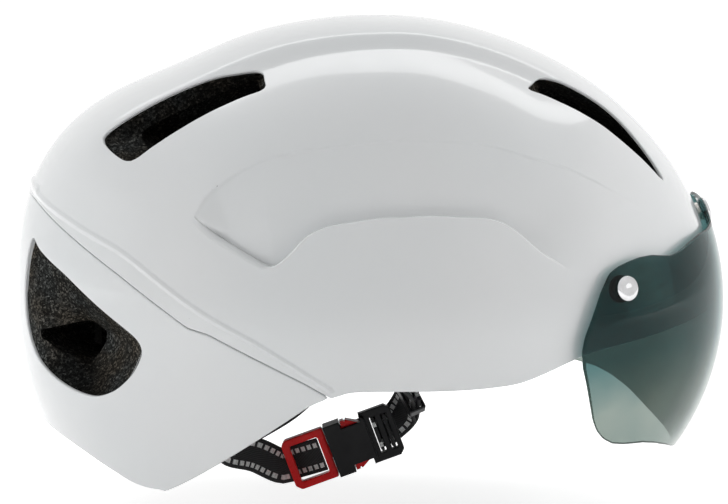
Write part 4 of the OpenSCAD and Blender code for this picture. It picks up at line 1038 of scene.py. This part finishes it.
def lensMaterial():
    mat, tree, bsdf = material("lens_smoke", Transmission_Weight=1.0, IOR=1.25, Specular_IOR_Level=0.3)
    coords = node(tree, "ShaderNodeTexCoord").outputs["Object"]
    fine = noise(tree, 30, 3, 0.5, coords)
    height = node(tree, "ShaderNodeSeparateXYZ", {0: coords}).outputs[2]
    fade = calc(tree, "ADD", mapRange(tree, height, -0.014, 0.01, -0.2, 0.5), fine)
    tint = ramp(tree, fade, [(0.25, (0.225, 0.272, 0.245)), (0.95, (0.062, 0.14, 0.14))])
    tree.links.new(tint, bsdf.inputs["Base Color"])
    tree.links.new(mapRange(tree, fine, 0.3, 0.7, 0.015, 0.03), bsdf.inputs["Roughness"])
    return mat


webbingMaterial(webBlack)
useMaterial(lens, lensMaterial())
chrome = plainMaterial("stud_chrome", (0.56, 0.56, 0.56), (0.66, 0.66, 0.67), 0.16, 180, 0.00001, Metallic=1.0)
useMaterial(studHeads, chrome)
slotMaterials = {
    "magnet_nickel": plainMaterial("magnet_nickel", (0.5, 0.49, 0.46), (0.62, 0.6, 0.57), 0.25, 150, 0.00001,
                                   Metallic=1.0),
    "black_nylon": plainMaterial("black_nylon", (0.008, 0.008, 0.009), (0.018, 0.018, 0.019), 0.4, 90, 0.00003,
                                 Specular_IOR_Level=0.35),
    "dial_rubber": plainMaterial("dial_rubber", (0.01, 0.01, 0.01), (0.022, 0.022, 0.022), 0.7, 120, 0.00005),
    "pinion_white": plainMaterial("pinion_white", (0.66, 0.65, 0.62), (0.74, 0.73, 0.7), 0.4, 100, 0.00002),
    "steel": plainMaterial("steel", (0.42, 0.42, 0.43), (0.55, 0.55, 0.56), 0.3, 160, 0.00001, Metallic=1.0),
    "pad_cloth": plainMaterial("pad_cloth", (0.02, 0.02, 0.022), (0.045, 0.045, 0.048), 0.95, 400, 0.00015, 0),
    "buckle_red": plainMaterial("buckle_red", (0.8, 0.006, 0.008), (0.92, 0.01, 0.012), 0.3, 80, 0.00002, 0.0009,
                                Specular_IOR_Level=0.2),
    "buckle_black": plainMaterial("buckle_black", (0.006, 0.006, 0.007), (0.012, 0.012, 0.013), 0.35, 80, 0.00002,
                                  0.0009, Specular_IOR_Level=0.12),
}
for piece in frame["record"]["subparts"]:
    if piece["material_slot"] in slotMaterials:
        useMaterial(frame["nodes"][piece["node"]], slotMaterials[piece["material_slot"]])
rounded = {"width": 0.0007, "segments": 3, "angle": 35, "joined": 0.00001,
           "nodes": ["buckle_male", "buckle_female", "divider_left", "divider_right", "strap_keeper", "dial_knob"]}
for name in rounded["nodes"]:
    modifiers = frame["nodes"][name].modifiers
    modifiers.new("joined", "WELD").merge_threshold = rounded["joined"]
    edge = modifiers.new("rounded", "BEVEL")
    edge.width, edge.segments, edge.harden_normals = rounded["width"], rounded["segments"], True
    edge.limit_method, edge.angle_limit = "ANGLE", math.radians(rounded["angle"])
print("stage: materials")


# pads, swelled by a cloth pass from the space their solids hold
padding = {"voxel": 0.0018, "smooth": (0.5, 4), "shrink": 0.0005, "pressure": 4.0, "steps": 20, "cap": 0.0012,
           "fill": 0.75,
           "nodes": {"brow_pad": "helmet", "crown_pad": "helmet", "side_pads": "helmet", "cradle_pad": "cradle"}}


def swell(name, body):
    obj = newObject(name + "_quilted", frame["nodes"][name].data.copy())
    remesh = obj.modifiers.new("even", "REMESH")
    remesh.mode, remesh.voxel_size = "VOXEL", padding["voxel"]
    smooth = obj.modifiers.new("soft", "SMOOTH")
    smooth.factor, smooth.iterations = padding["smooth"]
    shrink = obj.modifiers.new("inset", "DISPLACE")
    shrink.strength, shrink.mid_level = -padding["shrink"], 0
    applyModifiers(obj)
    start = np.zeros(len(obj.data.vertices) * 3)
    obj.data.vertices.foreach_get("co", start)
    settings = obj.modifiers.new("cloth", "CLOTH").settings
    settings.use_pressure = True
    settings.uniform_pressure_force = padding["pressure"]
    settings.effector_weights.gravity = 0
    for step in range(1, padding["steps"] + 1):
        scene.frame_set(step)
    applyModifiers(obj)
    moved = np.zeros(len(start))
    obj.data.vertices.foreach_get("co", moved)
    move = (moved - start).reshape(-1, 3)
    length = np.linalg.norm(move, axis=1, keepdims=True)
    move *= np.minimum(1, padding["cap"] / np.maximum(length, 1e-9))
    obj.data.vertices.foreach_set("co", start + move.ravel())
    scene.frame_set(1)
    fine = obj.modifiers.new("fine", "SUBSURF")
    fine.levels = fine.render_levels = 1
    applyModifiers(obj)
    obj.data.polygons.foreach_set("use_smooth", [True] * len(obj.data.polygons))
    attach(obj, body)
    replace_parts(obj, name)
    useMaterial(obj, slotMaterials["pad_cloth"])


for name, body in padding["nodes"].items():
    swell(name, body)
print("stage: pads")


# floor, lights and world, white where the camera sees them
stage = {"size": 6.0, "drop": 0.012, "tone": (0.8, 0.8, 0.8), "glow": 0.75}
lights = {
    "top_box": {"spot": (0, 0.75, 1.15), "aim": (0, 0, 0.05), "size": (1.9, 0.3), "power": 2.6},
    "soft_box": {"spot": (0, -0.2, 1.35), "aim": (0, 0, 0.05), "size": (1.6, 0.7), "power": 1.8},
    "left_box": {"spot": (-1.6, -0.25, 0.35), "aim": (0, 0, 0.03), "size": (0.9, 1.1), "power": 10},
    "right_box": {"spot": (1.6, -0.25, 0.4), "aim": (0, 0, 0.03), "size": (0.9, 1.1), "power": 10},
    "table_box": {"spot": (0, -0.45, 0.6), "aim": (0, -0.449, 0), "size": (1.2, 0.3), "power": 1.0, "spread": 50},
}


def seenDirectly(tree):
    path = node(tree, "ShaderNodeLightPath").outputs
    both = calc(tree, "MAXIMUM", path["Is Camera Ray"], path["Is Glossy Ray"])
    return calc(tree, "MAXIMUM", both, path["Is Transmission Ray"])


def makeStage():
    mesh = bpy.data.meshes.new("floor")
    size, low = stage["size"], min(cadBox[0][2], cadBox[1][2]) - stage["drop"]
    corners = [(x, y, low) for x, y in ((-size, -size), (size, -size), (size, size), (-size, size))]
    mesh.from_pydata(corners, [], [(0, 1, 2, 3)])
    floor = newObject("floor", mesh)
    mat, tree, bsdf = material("floor_white", Base_Color=stage["tone"], Roughness=1.0, Specular_IOR_Level=0.0)
    glow = calc(tree, "MULTIPLY", seenDirectly(tree), stage["glow"])
    tree.links.new(glow, bsdf.inputs["Emission Strength"])
    bsdf.inputs["Emission Color"].default_value = (1, 1, 1, 1)
    useMaterial(floor, mat)


def makeLight(name, spot, aim, size, power, spread=180):
    data = bpy.data.lights.new(name, "AREA")
    data.shape, data.size, data.size_y = "RECTANGLE", size[0], size[1]
    data.energy, data.spread = power, math.radians(spread)
    obj = newObject(name, data)
    obj.location = spot
    obj.rotation_euler = (Vector(aim) - Vector(spot)).to_track_quat("-Z", "Y").to_euler()
    obj.visible_glossy = name == "top_box"


# the dome gives less light from the camera's side, and a little less from above
def makeWorld():
    world = bpy.data.worlds.new("studio")
    world.use_nodes = True
    tree = world.node_tree
    sky = tree.nodes["Background"].inputs
    sky["Color"].default_value = (1, 1, 1, 1)
    toward = node(tree, "ShaderNodeSeparateXYZ", {0: node(tree, "ShaderNodeTexCoord").outputs["Generated"]}).outputs
    dome = calc(tree, "MULTIPLY", mapRange(tree, toward[2], -0.1, 0.9, 0.54, 0.5),
                mapRange(tree, toward[1], -1, 0.1, 0.5, 1))
    tree.links.new(mapRange(tree, seenDirectly(tree), 0, 1, dome, 1.0), sky["Strength"])
    scene.world = world


makeStage()
for name, light in lights.items():
    makeLight(name, **light)
makeWorld()
scene.view_settings.view_transform = "Standard"
print("stage: studio ready")
